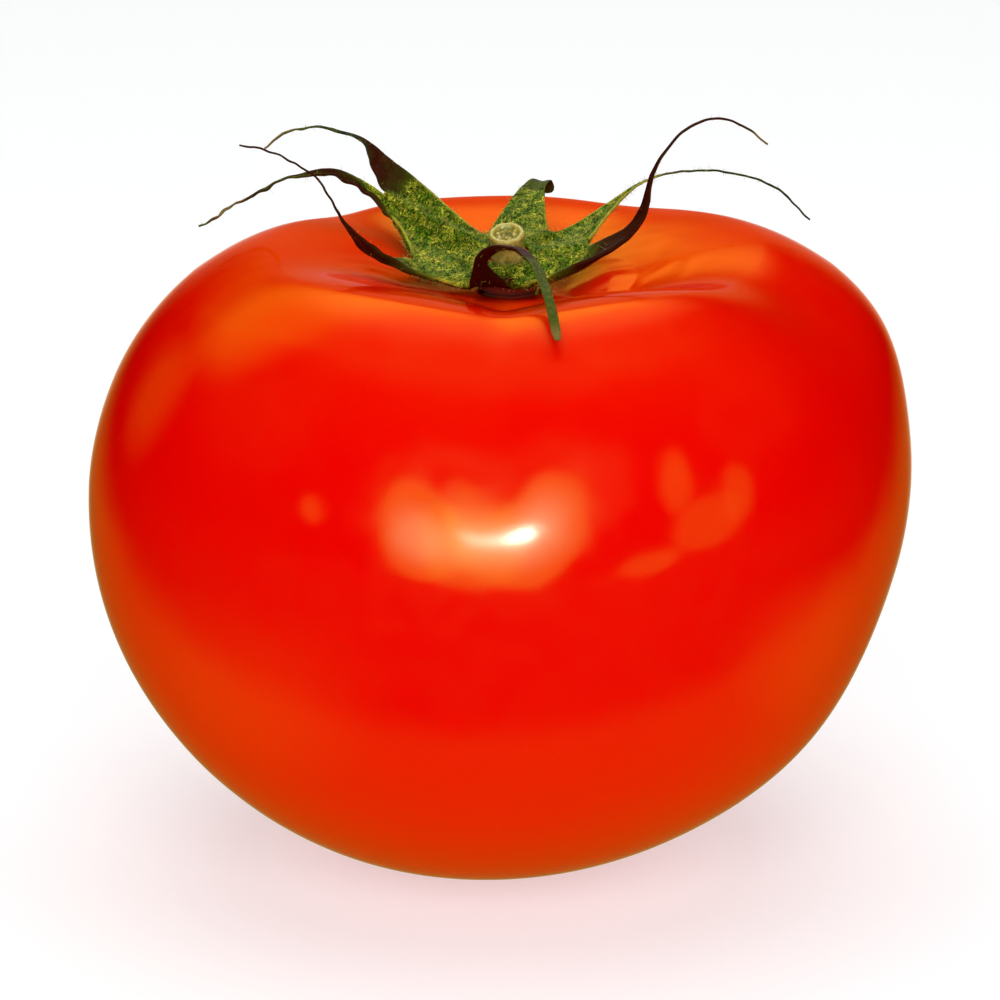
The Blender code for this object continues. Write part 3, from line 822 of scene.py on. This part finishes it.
SEPALS = (
    Sepal(
        route=((-2.7, -3.6, -2.0), (-2.9, -4.8, -0.5), (-2.4, -6.3, 1.4), (-1.0, -8.8, 2.9),
               (1.0, -12.6, 3.6), (2.5, -17.2, 3.2), (3.6, -22.4, 1.6), (4.4, -26.9, -1.1)),
        notch=(0.5, -4.2, -2.1), joined=(0.14, 0.14), parting=0.06, width=1.25, tail=0.9, narrows=(0.1, 0.95),
        roll=(0.0, 10.0, 0.0),
        tones=((0.0, Tone.FRESH), (0.07, Tone.MAROON), (0.5, Tone.MAROON), (0.66, Tone.OLIVE),
               (0.92, Tone.OLIVE), (1.0, Tone.TAN)),
        thin=1.0, crumple=0.5,
    ),
    Sepal(
        route=((2.5, -2.2, -1.1), (4.4, -2.6, -1.3), (6.6, -2.8, -0.5), (8.8, -2.9, 1.0), (11.4, -3.3, 3.0),
               (12.8, -3.4, 5.4), (13.5, -3.4, 8.6), (14.7, -3.4, 10.8), (16.9, -3.0, 13.1),
               (19.5, -2.4, 13.8), (22.0, -1.4, 13.0), (24.6, -0.2, 10.9)),
        notch=(7.6, 1.6, 0.7), joined=(0.14, 0.14), parting=0.28, width=2.2, tail=0.6, narrows=(0.25, 0.65),
        roll=(0.0, -35.0, 0.0),
        tones=((0.0, Tone.FRESH), (0.14, Tone.FRESH), (0.24, Tone.MAROON), (0.85, Tone.MAROON),
               (0.93, Tone.BROWN), (0.96, Tone.TAN), (1.0, Tone.TAN)),
        thin=0.5, crumple=0.7,
    ),
    Sepal(
        route=((2.7, 2.4, 0.0), (5.2, 4.8, 0.1), (7.7, 7.2, 1.2), (10.1, 9.8, 2.7), (13.3, 12.3, 4.4),
               (17.0, 13.2, 5.1), (21.5, 13.3, 5.1), (26.1, 11.9, 3.8), (29.4, 9.8, 1.1)),
        notch=(4.1, 5.2, 0.8), joined=(0.21, 0.21), parting=0.36, width=4.2, tail=0.6, narrows=(0.15, 0.56),
        roll=(0.0, 25.0, 0.0),
        tones=((0.0, Tone.FRESH), (0.45, Tone.FRESH), (0.58, Tone.DEEP), (0.85, Tone.DEEP),
               (1.0, Tone.BROWN)),
        thin=0.5,
    ),
    Sepal(
        route=((0.2, 3.6, 0.6), (0.9, 6.8, 1.6), (1.7, 9.8, 2.7), (2.6, 12.6, 3.8), (3.4, 14.2, 4.1),
               (4.0, 15.0, 2.6)),
        notch=(-2.3, 5.2, 0.6), joined=(0.4, 0.4), parting=0.3, width=4.2, tail=1.6, narrows=(0.35, 0.95),
        roll=(0.0, 0.0, 0.0),
        tones=((0.0, Tone.FRESH), (0.62, Tone.FRESH), (0.78, Tone.OLIVE), (0.92, Tone.BROWN),
               (1.0, Tone.OLIVE)),
        thin=1.0,
    ),
    Sepal(
        route=((-2.6, 3.8, 0.0), (-5.4, 6.8, 1.0), (-7.9, 9.9, 2.4), (-10.3, 12.1, 3.8), (-12.4, 13.7, 5.9),
               (-14.0, 14.8, 7.7), (-16.8, 15.4, 8.8), (-20.6, 15.1, 8.9), (-23.8, 13.9, 7.2)),
        notch=(-12.1, 10.4, 3.6), joined=(0.4, 0.4), parting=0.25, width=3.8, tail=0.6, narrows=(0.46, 0.73),
        roll=(0.0, 25.0, 0.0),
        tones=((0.0, Tone.FRESH), (0.44, Tone.FRESH), (0.50, Tone.BROWN), (0.60, Tone.MAROON),
               (0.68, Tone.BROWN), (0.72, Tone.TEAL), (0.80, Tone.DEEP), (0.9, Tone.OLIVE), (1.0, Tone.TAN)),
        thin=0.6, crumple=2.0, slant=0.06,
    ),
    Sepal(
        route=((-4.0, 2.0, -0.7), (-6.8, 3.9, -0.4), (-9.3, 6.4, 0.7), (-11.5, 9.0, 2.4), (-13.8, 10.6, 4.2),
               (-17.2, 11.2, 5.7), (-22.0, 10.8, 4.8), (-26.6, 9.8, 2.6), (-29.9, 7.8, 0.7)),
        notch=(-8.8, 1.8, -0.9), joined=(0.22, 0.42), parting=0.09, width=1.3, tail=0.8, narrows=(0.40, 0.6),
        roll=(0.0, 20.0, 0.0),
        tones=((0.0, Tone.FRESH), (0.40, Tone.FRESH), (0.47, Tone.BROWN), (0.56, Tone.MAROON),
               (0.66, Tone.BROWN), (0.72, Tone.OLIVE), (0.82, Tone.BROWN), (0.92, Tone.TAN),
               (1.0, Tone.OLIVE)),
        thin=0.85, crumple=2.4,
    ),
    Sepal(
        route=((-4.4, -1.3, -1.3), (-7.5, -2.2, -1.0), (-10.5, -3.1, -0.1), (-12.9, -3.7, 1.3),
               (-15.2, -4.1, 3.7), (-16.6, -4.2, 6.3), (-18.0, -3.8, 8.3), (-20.7, -2.4, 9.7),
               (-23.2, -1.4, 10.6), (-25.5, -0.2, 10.7)),
        notch=(-3.7, -3.4, -2.3), joined=(0.22, 0.22), parting=0.22, width=2.4, tail=0.6,
        narrows=(0.36, 0.66),
        roll=(0.0, 15.0, 0.0),
        tones=((0.0, Tone.FRESH), (0.22, Tone.FRESH), (0.30, Tone.OLIVE), (0.36, Tone.BROWN),
               (0.42, Tone.MAROON), (0.9, Tone.MAROON), (1.0, Tone.BROWN)),
        thin=0.30, crumple=1.3, twist=((0.0, 0.0), (0.24, 0.0), (0.44, -50.0), (0.7, 0.0), (1.0, 0.0)),
    ),
)


def smooth_route(points: list[Vector], share: float) -> Vector:
    """The point at a share of the length of an even curve through the given points.

    Args:
        points: The points that the curve passes through.
        share: The share of its length.

    Returns:
        The point on the curve.
    """
    spans = [(after - before).length ** 0.5 for before, after in zip(points, points[1:])]
    lengths = [0.0]
    for before, after in zip(points, points[1:]):
        lengths.append(lengths[-1] + (after - before).length)
    target = share * lengths[-1]
    index = max(i for i in range(len(points) - 1) if lengths[i] <= target)
    within = (target - lengths[index]) / (lengths[index + 1] - lengths[index])
    before, start = points[max(index - 1, 0)], points[index]
    end, after = points[index + 1], points[min(index + 2, len(points) - 1)]
    span = spans[index]
    lead_in = spans[index - 1] if index else span
    lead_out = spans[index + 1] if index + 1 < len(spans) else span
    direct = (end - start) / span
    start_slope, end_slope = direct, direct
    if index:
        start_slope = ((start - before) / lead_in * span + direct * lead_in) / (lead_in + span)
    if index + 1 < len(spans):
        end_slope = (direct * lead_out + (after - end) / lead_out * span) / (span + lead_out)
    square, cube = within * within, within**3
    return (
        start * (2 * cube - 3 * square + 1)
        + start_slope * span * (cube - 2 * square + within)
        + end * (3 * square - 2 * cube)
        + end_slope * span * (cube - square)
    )


@dataclass(frozen=True)
class Calyx:
    """Seven sepals that are joined round the stem, as one netted, crinkled leaf."""

    stem: Stem = Stem()
    hole_radius: float = 2.05 * MM
    collar_radius: float = 2.75 * MM
    thickness: float = 0.50 * MM
    tail_thickness: float = 0.18 * MM
    margin_share: float = 0.45
    rows: int = 156
    joined_rows: int = 36
    columns: int = 24
    midrib_sink: float = 0.08
    notch_bluntness: float = 0.4 * MM
    even_spread: float = 0.5
    sepals: tuple[Sepal, ...] = SEPALS

    @property
    def middle(self) -> Vector:
        """The middle of the calyx's hole."""
        return self.stem.bent(Vector((0.0, 0.0, self.stem.calyx_height)))

    def ring_point(self, radius: float, azimuth: float) -> Vector:
        """A point round the hole, on a plane that is tilted with the stem."""
        turned = Vector((radius * math.cos(azimuth), radius * math.sin(azimuth), self.stem.calyx_height))
        return self.stem.bent(turned)

    def places(self) -> list[float]:
        """Places across a row, from 1 at its left edge to -1 at its right edge."""
        return [1.0 - 2.0 * column / self.columns for column in range(self.columns + 1)]

    @staticmethod
    def arc(
        left: Vector | float, middle: Vector | float, right: Vector | float, place: float
    ) -> Vector | float:
        """The value at a place on the arc that runs through three values."""
        at_left, at_right = place * (place + 1) / 2, place * (place - 1) / 2
        return left * at_left + middle * (1 - place * place) + right * at_right

    def blade_edge(self, sepal: Sepal, route: list[Vector], share: float, side: int) -> Vector:
        """A point on the free blade's edge.

        Args:
            sepal: The sepal.
            route: Its middle line, in metres.
            share: The share of its length.
            side: 1 for its left edge and -1 for its right edge.

        Returns:
            The point.
        """
        outward = Vector(sepal.route[-1]).xy.normalized()
        sideways = Vector((-outward.y, outward.x, 0.0))
        along = smooth_route(route, min(1.0, share + 0.01)) - smooth_route(route, max(0.0, share - 0.01))
        along.normalize()
        across = (sideways - along * sideways.dot(along)).normalized()
        roll = -sepal.rolled(share)
        direction = across * math.cos(roll) + along.cross(across) * math.sin(roll)
        return smooth_route(route, share) + direction * side * sepal.half_width(share)

    def grid(self, sepal: Sepal, notch_before: Spot) -> list[list[tuple[Vector, float, float, float]]]:
        """Rows of points from the hole to the tip, each from the left to the right edge.

        Args:
            sepal: The sepal.
            notch_before: The notch on its right side.

        Returns:
            Each point with its share of the length, its place across and how far it is from any joined edge.
        """
        azimuths = [math.atan2(spot[1], spot[0]) for spot in (sepal.notch, sepal.route[0], notch_before)]
        left = azimuths[0]
        middle = left - (left - azimuths[1]) % math.tau
        right = left - (left - azimuths[2]) % math.tau
        rows = []
        collar = (self.hole_radius, blend(self.hole_radius, self.collar_radius, 0.5), self.collar_radius)
        for radius in collar:
            turns = [(self.arc(left, middle, right, place), place) for place in self.places()]
            rows.append([(self.ring_point(radius, turn), 0.0, place, 0.0) for turn, place in turns])
        route = [self.ring_point(self.collar_radius, azimuths[1])]
        route += [self.middle + Vector(spot) * MM for spot in sepal.route]
        corners = {+1: (azimuths[0], sepal.notch), -1: (azimuths[2], notch_before)}
        joined = {+1: sepal.joined[0], -1: sepal.joined[1]}
        for row in range(1, self.rows + 1):
            to_notch = min(1.0, row / self.joined_rows)
            past_notch = max(0.0, (row - self.joined_rows) / (self.rows - self.joined_rows))
            shares = {side: start * to_notch + (1.0 - start) * past_notch for side, start in joined.items()}
            freed = {side: (shares[side] - joined[side]) / sepal.parting for side in joined}
            held = {side: (1.0 - min(1.0, max(0.0, part))) ** 2 for side, part in freed.items()}
            share = (shares[+1] + shares[-1]) / 2
            centre = smooth_route(route, share)
            edges = {}
            for side, (azimuth, spot) in corners.items():
                notch = self.middle + Vector(spot) * MM
                if past_notch:
                    offset = notch - self.blade_edge(sepal, route, joined[side], side)
                    edge = self.blade_edge(sepal, route, shares[side], side) + offset * held[side]
                    edges[side] = edge + (centre - edge).normalized() * self.notch_bluntness * held[side]
                else:
                    edges[side] = self.ring_point(self.collar_radius, azimuth).lerp(notch, to_notch)
            even = (edges[+1] + edges[-1]) / 2
            centre = centre.lerp(even, self.even_spread * (held[+1] + held[-1]) / 2 * to_notch)
            centre.z -= (edges[+1] - edges[-1]).length * self.midrib_sink * to_notch
            across = [(self.arc(edges[+1], centre, edges[-1], place), place) for place in self.places()]
            rows.append([(point, share, place, past_notch) for point, place in across])
        return rows

    def build(self) -> bpy.types.Object:
        """The calyx's finished piece, its two faces and its edges in one closed skin."""
        sheet = bmesh.new()
        layers = {name: sheet.verts.layers.float.new(name) for name in ("fresh", "rim", "thick", "crumple")}
        tone = sheet.verts.layers.float_color.new("tone")
        for index, sepal in enumerate(self.sepals):
            grid = []
            for row in self.grid(sepal, self.sepals[index - 1].notch):
                line = []
                for point, share, place, free in row:
                    vertex = sheet.verts.new(point)
                    stage = share + sepal.slant * place + 0.025 * waviness(point, 1.2 * MM, 4.0)
                    colour = keyed_tone(sepal.tones, stage)
                    fresh = min(1.0, max(0.0, (colour.y - 1.2 * colour.x) / 0.06))
                    edge = smooth_step(0.91, 0.99, abs(place)) * smooth_step(0.0, 0.04, free)
                    vertex[tone] = (*colour, 1.0)
                    vertex[layers["fresh"]] = fresh
                    vertex[layers["rim"]] = 0.4 * edge * fresh * (1.0 - smooth_step(0.45, 0.7, share))
                    margin = smooth_step(0.75, 1.0, abs(place)) * smooth_step(0.0, 0.04, free)
                    thick = blend(self.thickness, self.tail_thickness, smooth_step(*sepal.narrows, share))
                    vertex[layers["thick"]] = thick * blend(1.0, self.margin_share, margin)
                    vertex[layers["crumple"]] = sepal.crumple * blend(1.6, 0.7, fresh)
                    line.append(vertex)
                grid.append(line)
            for near, far in zip(grid, grid[1:]):
                for column in range(self.columns):
                    sheet.faces.new((near[column], near[column + 1], far[column + 1], far[column]))
        bmesh.ops.remove_doubles(sheet, verts=sheet.verts, dist=0.004 * MM)
        sheet.normal_update()
        self.crinkle(sheet, layers)
        mesh = bpy.data.meshes.new("calyx_leaf")
        self.thicken(sheet, layers)
        sheet.to_mesh(mesh)
        sheet.free()
        piece = make_piece("calyx_leaf", mesh, LeafFinish().build())
        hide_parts("calyx")
        return piece

    def crinkle(self, sheet: bmesh.types.BMesh, layers: dict[str, object]) -> None:
        """Waves the sheet a little, more where it has dried, and not at all where it meets the stem.

        Args:
            sheet: The open sheet.
            layers: The values stored on its points.
        """
        moves = []
        for vertex in sheet.verts:
            from_hole = (vertex.co - self.middle).length
            free = smooth_step(self.collar_radius, 2.0 * self.collar_radius, from_hole)
            loose = free * vertex[layers["crumple"]]
            wave = 0.10 * waviness(vertex.co, 2.4 * MM, 1.0) + 0.07 * waviness(vertex.co, 1.1 * MM, 6.0)
            moves.append(vertex.normal * wave * MM * loose)
        for vertex, move in zip(sheet.verts, moves):
            vertex.co += move
        sheet.normal_update()

    def thicken(self, sheet: bmesh.types.BMesh, layers: dict[str, object]) -> None:
        """Gives the sheet two faces, with the net of veins raised on the upper one, and closes its edges.

        Args:
            sheet: The open sheet, which becomes closed.
            layers: The values stored on its points.
        """
        upper = list(sheet.verts)
        border = [edge for edge in sheet.edges if edge.is_boundary]
        faces = list(sheet.faces)
        normals = {vertex: vertex.normal.copy() for vertex in upper}
        lower = {}
        for vertex in upper:
            sunk = vertex.co - normals[vertex] * vertex[layers["thick"]] / 2
            lower[vertex] = sheet.verts.new(sunk, vertex)
        for face in faces:
            sheet.faces.new([lower[vertex] for vertex in reversed(face.verts)])
        for edge in border:
            first, second = (loop.vert for loop in (edge.link_loops[0], edge.link_loops[0].link_loop_next))
            sheet.faces.new((second, first, lower[first], lower[second]))
        for vertex in upper:
            veins = vein_height(vertex.co, 0.8 * MM) * 0.06 * MM * vertex[layers["fresh"]]
            vertex.co += normals[vertex] * (vertex[layers["thick"]] / 2 + veins)


@dataclass(frozen=True)
class Hairs:
    """Short pale hairs that stand on the calyx and along its edges."""

    count: int = 3200
    seed: int = 41
    length: tuple[float, float] = (0.25 * MM, 0.75 * MM)
    root_radius: float = 0.016 * MM
    root_depth: float = 0.04 * MM
    sides: int = 3

    def build(self, leaf: bpy.types.Object) -> bpy.types.Object:
        """The hairs' finished piece.

        Args:
            leaf: The calyx that they grow on.

        Returns:
            The piece.
        """
        draw = random.Random(self.seed)
        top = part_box("calyx")[1][2]
        mesh = leaf.data
        fresh = mesh.attributes["fresh"].data
        areas = [
            polygon.area * (0.12 + fresh[polygon.vertices[0]].value) for polygon in mesh.polygons
        ]
        chosen = draw.choices(range(len(areas)), weights=areas, k=self.count)
        points, faces = [], []
        for index in chosen:
            polygon = mesh.polygons[index]
            corners = [mesh.vertices[number].co for number in polygon.vertices]
            root = corners[0].lerp(corners[1], draw.random()).lerp(corners[2], draw.random() * 0.5)
            direction = polygon.normal + Vector([draw.uniform(-0.7, 0.7) for _ in range(3)]) + UP * 0.2
            self.grow(points, faces, root, direction.normalized(), draw)
        for point in points:
            point.z = min(point.z, top)
        mesh = new_mesh("calyx_hairs", points, faces)
        return make_piece("calyx_hairs", mesh, HairFinish().build())

    def grow(
        self, points: list[Vector], faces: list[tuple], root: Vector, direction: Vector, draw: random.Random
    ) -> None:
        """Adds one bent, pointed hair.

        Args:
            points: The points so far, which the hair's are added to.
            faces: The faces so far, which the hair's are added to.
            root: Where it stands.
            direction: Which way it grows.
            draw: The seeded source of chance.
        """
        length = draw.uniform(*self.length)
        beside = direction.orthogonal().normalized()
        turn = Matrix.Rotation(math.tau / self.sides, 3, direction)
        bend = beside * length * draw.uniform(-0.25, 0.25)
        first = len(points)
        for reach, radius, pushed in ((0.0, 1.0, 0.0), (0.55, 0.7, 0.4)):
            centre = root + direction * (length * reach - (0.0 if reach else self.root_depth)) + bend * pushed
            arm = beside * self.root_radius * radius
            for _ in range(self.sides):
                points.append(centre + arm)
                arm = turn @ arm
        points.append(root + direction * length + bend)
        tip = len(points) - 1
        faces.append(tuple(first + side for side in reversed(range(self.sides))))
        for side in range(self.sides):
            after = (side + 1) % self.sides
            faces.append((first + side, first + after, first + self.sides + after, first + self.sides + side))
            faces.append((first + self.sides + side, first + self.sides + after, tip))


class Light(Enum):
    """The colours of the lights."""

    WHITE = (1.0, 1.0, 1.0)
    HONEY = (0.5, 1.0, 0.35)
    PAPER = (0.95, 0.85, 1.1)
    AMBER = (0.7, 1.0, 0.3)
    SKY = (0.95, 0.85, 1.6)
    COOL = (0.12, 0.40, 1.0)
    BLUE = (0.22, 0.26, 1.0)


@dataclass(frozen=True)
class Glow:
    """A soft-edged oval of light in the room, which only the shine of things shows.

    Azimuth 0 is in front and rises to the right, and elevation is above level, both in degrees. The size is
    half its width and half its height in degrees. Brightness is that of its middle, where white paper has 1,
    and soft is the share of its size over which it fades out.
    """

    azimuth: float
    elevation: float
    size: tuple[float, float]
    brightness: float
    soft: float
    light: Light

    def away(self) -> Vector:
        """The direction to the middle of the glow."""
        turn, rise = math.radians(self.azimuth), math.radians(self.elevation)
        return Vector((math.sin(turn) * math.cos(rise), -math.cos(turn) * math.cos(rise), math.sin(rise)))

    def shine(self, nodes: Nodes, direction: Socket, stirred: float) -> Socket:
        """The light that comes from the glow.

        Args:
            nodes: The room's nodes.
            direction: The direction that is looked in, stirred by noise.
            stirred: How far it is stirred.

        Returns:
            The light in that direction.
        """
        away = self.away()
        across, high = (2.0 * math.sin(math.radians(side) / 2) for side in self.size)
        inputs = {
            "Vector": direction,
            "Location": away + Vector((0.5, 0.5, 0.5)) * stirred,
            "Rotation": away.to_track_quat("Z", "Y").to_euler(),
            "Scale": (across, high, max(across, high)),
        }
        place = nodes.add("ShaderNodeMapping", inputs, vector_type="TEXTURE").outputs["Vector"]
        far = nodes.add("ShaderNodeVectorMath", {0: place}, operation="LENGTH").outputs["Value"]
        fade = nodes.ramp(far, 1.0 - self.soft, 1.0, self.brightness, 0.0)
        inputs = {0: self.light.value, "Scale": fade}
        return nodes.add("ShaderNodeVectorMath", inputs, operation="SCALE").outputs["Vector"]


GLOWS = (
    # The window in front, in two leaves.
    Glow(-17.0, 17.0, (13.0, 20.0), 3.4, 0.20, Light.HONEY),
    Glow(4.0, 18.0, (14.0, 23.5), 3.6, 0.20, Light.HONEY),
    Glow(-8.0, 13.0, (11.0, 19.0), 2.6, 0.30, Light.HONEY),
    Glow(-18.0, 16.0, (10.0, 14.0), 13.0, 0.75, Light.COOL),
    Glow(3.0, 19.0, (12.5, 18.0), 14.0, 0.80, Light.COOL),
    Glow(-7.0, 15.0, (12.0, 12.0), 8.0, 0.90, Light.COOL),
    Glow(1.0, 19.0, (9.0, 8.0), 18.0, 0.95, Light.COOL),
    # What shows faintly on the right, and once on the left.
    Glow(45.0, 24.0, (6.5, 13.0), 1.8, 0.40, Light.HONEY),
    Glow(66.0, 13.0, (6.5, 11.0), 1.5, 0.40, Light.HONEY),
    Glow(54.0, 6.0, (14.0, 11.0), 1.5, 0.35, Light.HONEY),
    Glow(36.0, -3.0, (11.0, 6.0), 1.7, 0.40, Light.HONEY),
    Glow(-50.0, 16.0, (4.5, 5.5), 1.7, 0.45, Light.HONEY),
    # The bright backdrop, higher on the left than on the right.
    Glow(-150.0, 42.0, (38.0, 24.0), 1.9, 0.55, Light.AMBER),
    Glow(-179.0, 52.0, (24.0, 32.0), 2.1, 0.60, Light.SKY),
    Glow(178.0, 2.0, (28.0, 30.0), 0.8, 0.60, Light.PAPER),
    Glow(-130.0, 12.0, (16.0, 16.0), 0.5, 0.70, Light.AMBER),
    # The pale floor, dark just in front, where the camera stands.
    Glow(180.0, -62.0, (66.0, 66.0), 0.5, 0.20, Light.AMBER),
    Glow(-85.0, -42.0, (44.0, 28.0), 0.45, 0.85, Light.AMBER),
    Glow(105.0, -34.0, (34.0, 16.0), 0.35, 0.80, Light.AMBER),
)


@dataclass(frozen=True)
class Lamp:
    """A soft oval lamp, placed as a glow is, which lights things or shows only in their shine."""

    name: str
    azimuth: float
    elevation: float
    size: tuple[float, float]
    brightness: float
    distance: float = 0.9
    light: Light = Light.WHITE
    in_shine: bool = False

    def hang(self, heart: Vector) -> None:
        """Hangs the lamp round the middle of the tomato."""
        away = Glow(self.azimuth, self.elevation, self.size, self.brightness, 0.0, self.light).away()
        width, height = (2.0 * self.distance * math.tan(math.radians(side) / 2) for side in self.size)
        lamp = bpy.data.lights.new(self.name, "AREA")
        lamp.shape = "ELLIPSE"
        lamp.color = self.light.value
        lamp.size, lamp.size_y = width, height
        lamp.energy = self.brightness * math.pi * (math.pi / 4 * width * height)
        holder = bpy.data.objects.new(self.name, lamp)
        holder.location = heart + away * self.distance
        holder.rotation_euler = away.to_track_quat("Z", "Y").to_euler()
        holder.visible_camera = False
        holder.visible_glossy = self.in_shine
        holder.visible_diffuse = not self.in_shine
        holder.visible_transmission = not self.in_shine
        bpy.context.scene.collection.objects.link(holder)


LAMPS = (
    Lamp("bright_lamp", -0.4, 18.8, (7.6, 5.4), 260.0, light=Light.BLUE, in_shine=True),
    Lamp("front_fill", 0.0, 30.0, (50.0, 40.0), 4.3),
    Lamp("overhead", 180.0, 80.0, (60.0, 60.0), 2.5, 1.2),
    Lamp("left_fill", -85.0, 32.0, (44.0, 30.0), 1.15),
    Lamp("right_fill", 85.0, 32.0, (44.0, 30.0), 1.4),
)


@dataclass(frozen=True)
class Studio:
    """The pale table, the soft lights and the camera."""

    camera_elevation: float = math.radians(17.0)
    camera_distance: float = 450.0 * MM
    camera_target: Spot = (0.0, 0.0, 34.98 * MM)
    frame_width: float = 97.22 * MM
    sensor: float = 36.0
    table_reach: float = 3.0
    table_glow: float = 0.55
    table_greys: tuple[float, float] = (0.47, 0.49)
    stirred: float = 0.075
    ripples: float = 5.0
    glows: tuple[Glow, ...] = GLOWS
    lamps: tuple[Lamp, ...] = LAMPS

    def lay_table(self) -> None:
        """The pale table that the tomato stands on, which its shine sees as the glows below it."""
        reach = self.table_reach
        corners = [(-reach, -reach, 0.0), (reach, -reach, 0.0), (reach, reach, 0.0), (-reach, reach, 0.0)]
        mesh = new_mesh("table", corners, [(0, 1, 2, 3)])
        table = bpy.data.objects.new("table", mesh)
        nodes = Surface("table_top")
        darker, lighter = ((grey, grey, grey) for grey in self.table_greys)
        nodes.set(Base_Color=nodes.mix(nodes.cloud(3.0, 2.0), darker, lighter), Roughness=0.8, IOR=1.3)
        nodes.set(Emission_Color=(1.0, 1.0, 1.0, 1.0), Emission_Strength=self.table_glow)
        mesh.materials.append(nodes.material)
        table.visible_glossy = False
        bpy.context.scene.collection.objects.link(table)

    def light_room(self) -> None:
        """A dark room with glows for the shine of things, and plain white where the camera looks."""
        world = bpy.data.worlds.new("studio")
        bpy.context.scene.world = world
        world.use_nodes = True
        world.cycles_visibility.diffuse = False
        room = Nodes(world.node_tree)
        room.tree.nodes.clear()
        direction = room.add("ShaderNodeTexCoord").outputs["Generated"]
        inputs = {"Vector": direction, "Scale": self.ripples, "Detail": 6.0}
        ripple = room.add("ShaderNodeTexNoise", inputs).outputs["Color"]
        inputs = {0: ripple, 1: (self.stirred, self.stirred, self.stirred), 2: direction}
        stir = room.add("ShaderNodeVectorMath", inputs, operation="MULTIPLY_ADD").outputs["Vector"]
        total = None
        for glow in self.glows:
            lit = glow.shine(room, stir, self.stirred)
            if total is not None:
                lit = room.add("ShaderNodeVectorMath", {0: total, 1: lit}, operation="ADD").outputs["Vector"]
            total = lit
        glows = room.add("ShaderNodeBackground", {"Color": total}).outputs["Background"]
        white = room.add("ShaderNodeBackground", {"Color": (1.0, 1.0, 1.0, 1.0)}).outputs["Background"]
        to_camera = room.add("ShaderNodeLightPath").outputs["Is Camera Ray"]
        choice = room.add("ShaderNodeMixShader", {0: to_camera, 1: glows, 2: white}).outputs["Shader"]
        room.add("ShaderNodeOutputWorld", {"Surface": choice})

    def set_camera(self) -> None:
        """The camera, at the height and distance that the tomato is looked at from."""
        lens = bpy.data.cameras.new("camera")
        lens.sensor_width = self.sensor
        lens.lens = self.sensor * self.camera_distance / self.frame_width
        camera = bpy.data.objects.new("camera", lens)
        back = Vector((0.0, -math.cos(self.camera_elevation), math.sin(self.camera_elevation)))
        camera.location = Vector(self.camera_target) + back * self.camera_distance
        camera.rotation_euler = back.to_track_quat("Z", "Y").to_euler()
        bpy.context.scene.collection.objects.link(camera)
        bpy.context.scene.camera = camera

    def build(self) -> None:
        """Sets up the whole studio."""
        self.lay_table()
        self.light_room()
        for lamp in self.lamps:
            lamp.hang(Vector(self.camera_target))
        self.set_camera()
        bpy.context.scene.view_settings.view_transform = "Standard"


def report_piece(piece: bpy.types.Object) -> None:
    """Writes a piece's name and size to the log."""
    size = [round(side / MM, 1) for side in piece.dimensions]
    LOG.info("%s: %s x %s x %s mm, %d faces", piece.name, *size, len(piece.data.polygons))


def main() -> None:
    """Builds the fruit, its stem and its calyx, and then the studio round them."""
    logging.basicConfig(level=logging.INFO, format="%(name)s: %(message)s")
    report_piece(Fruit().build())
    report_piece(Stem().build())
    leaf = Calyx().build()
    report_piece(leaf)
    report_piece(Hairs().build(leaf))
    Studio().build()


if __name__ == "__main__":
    main()
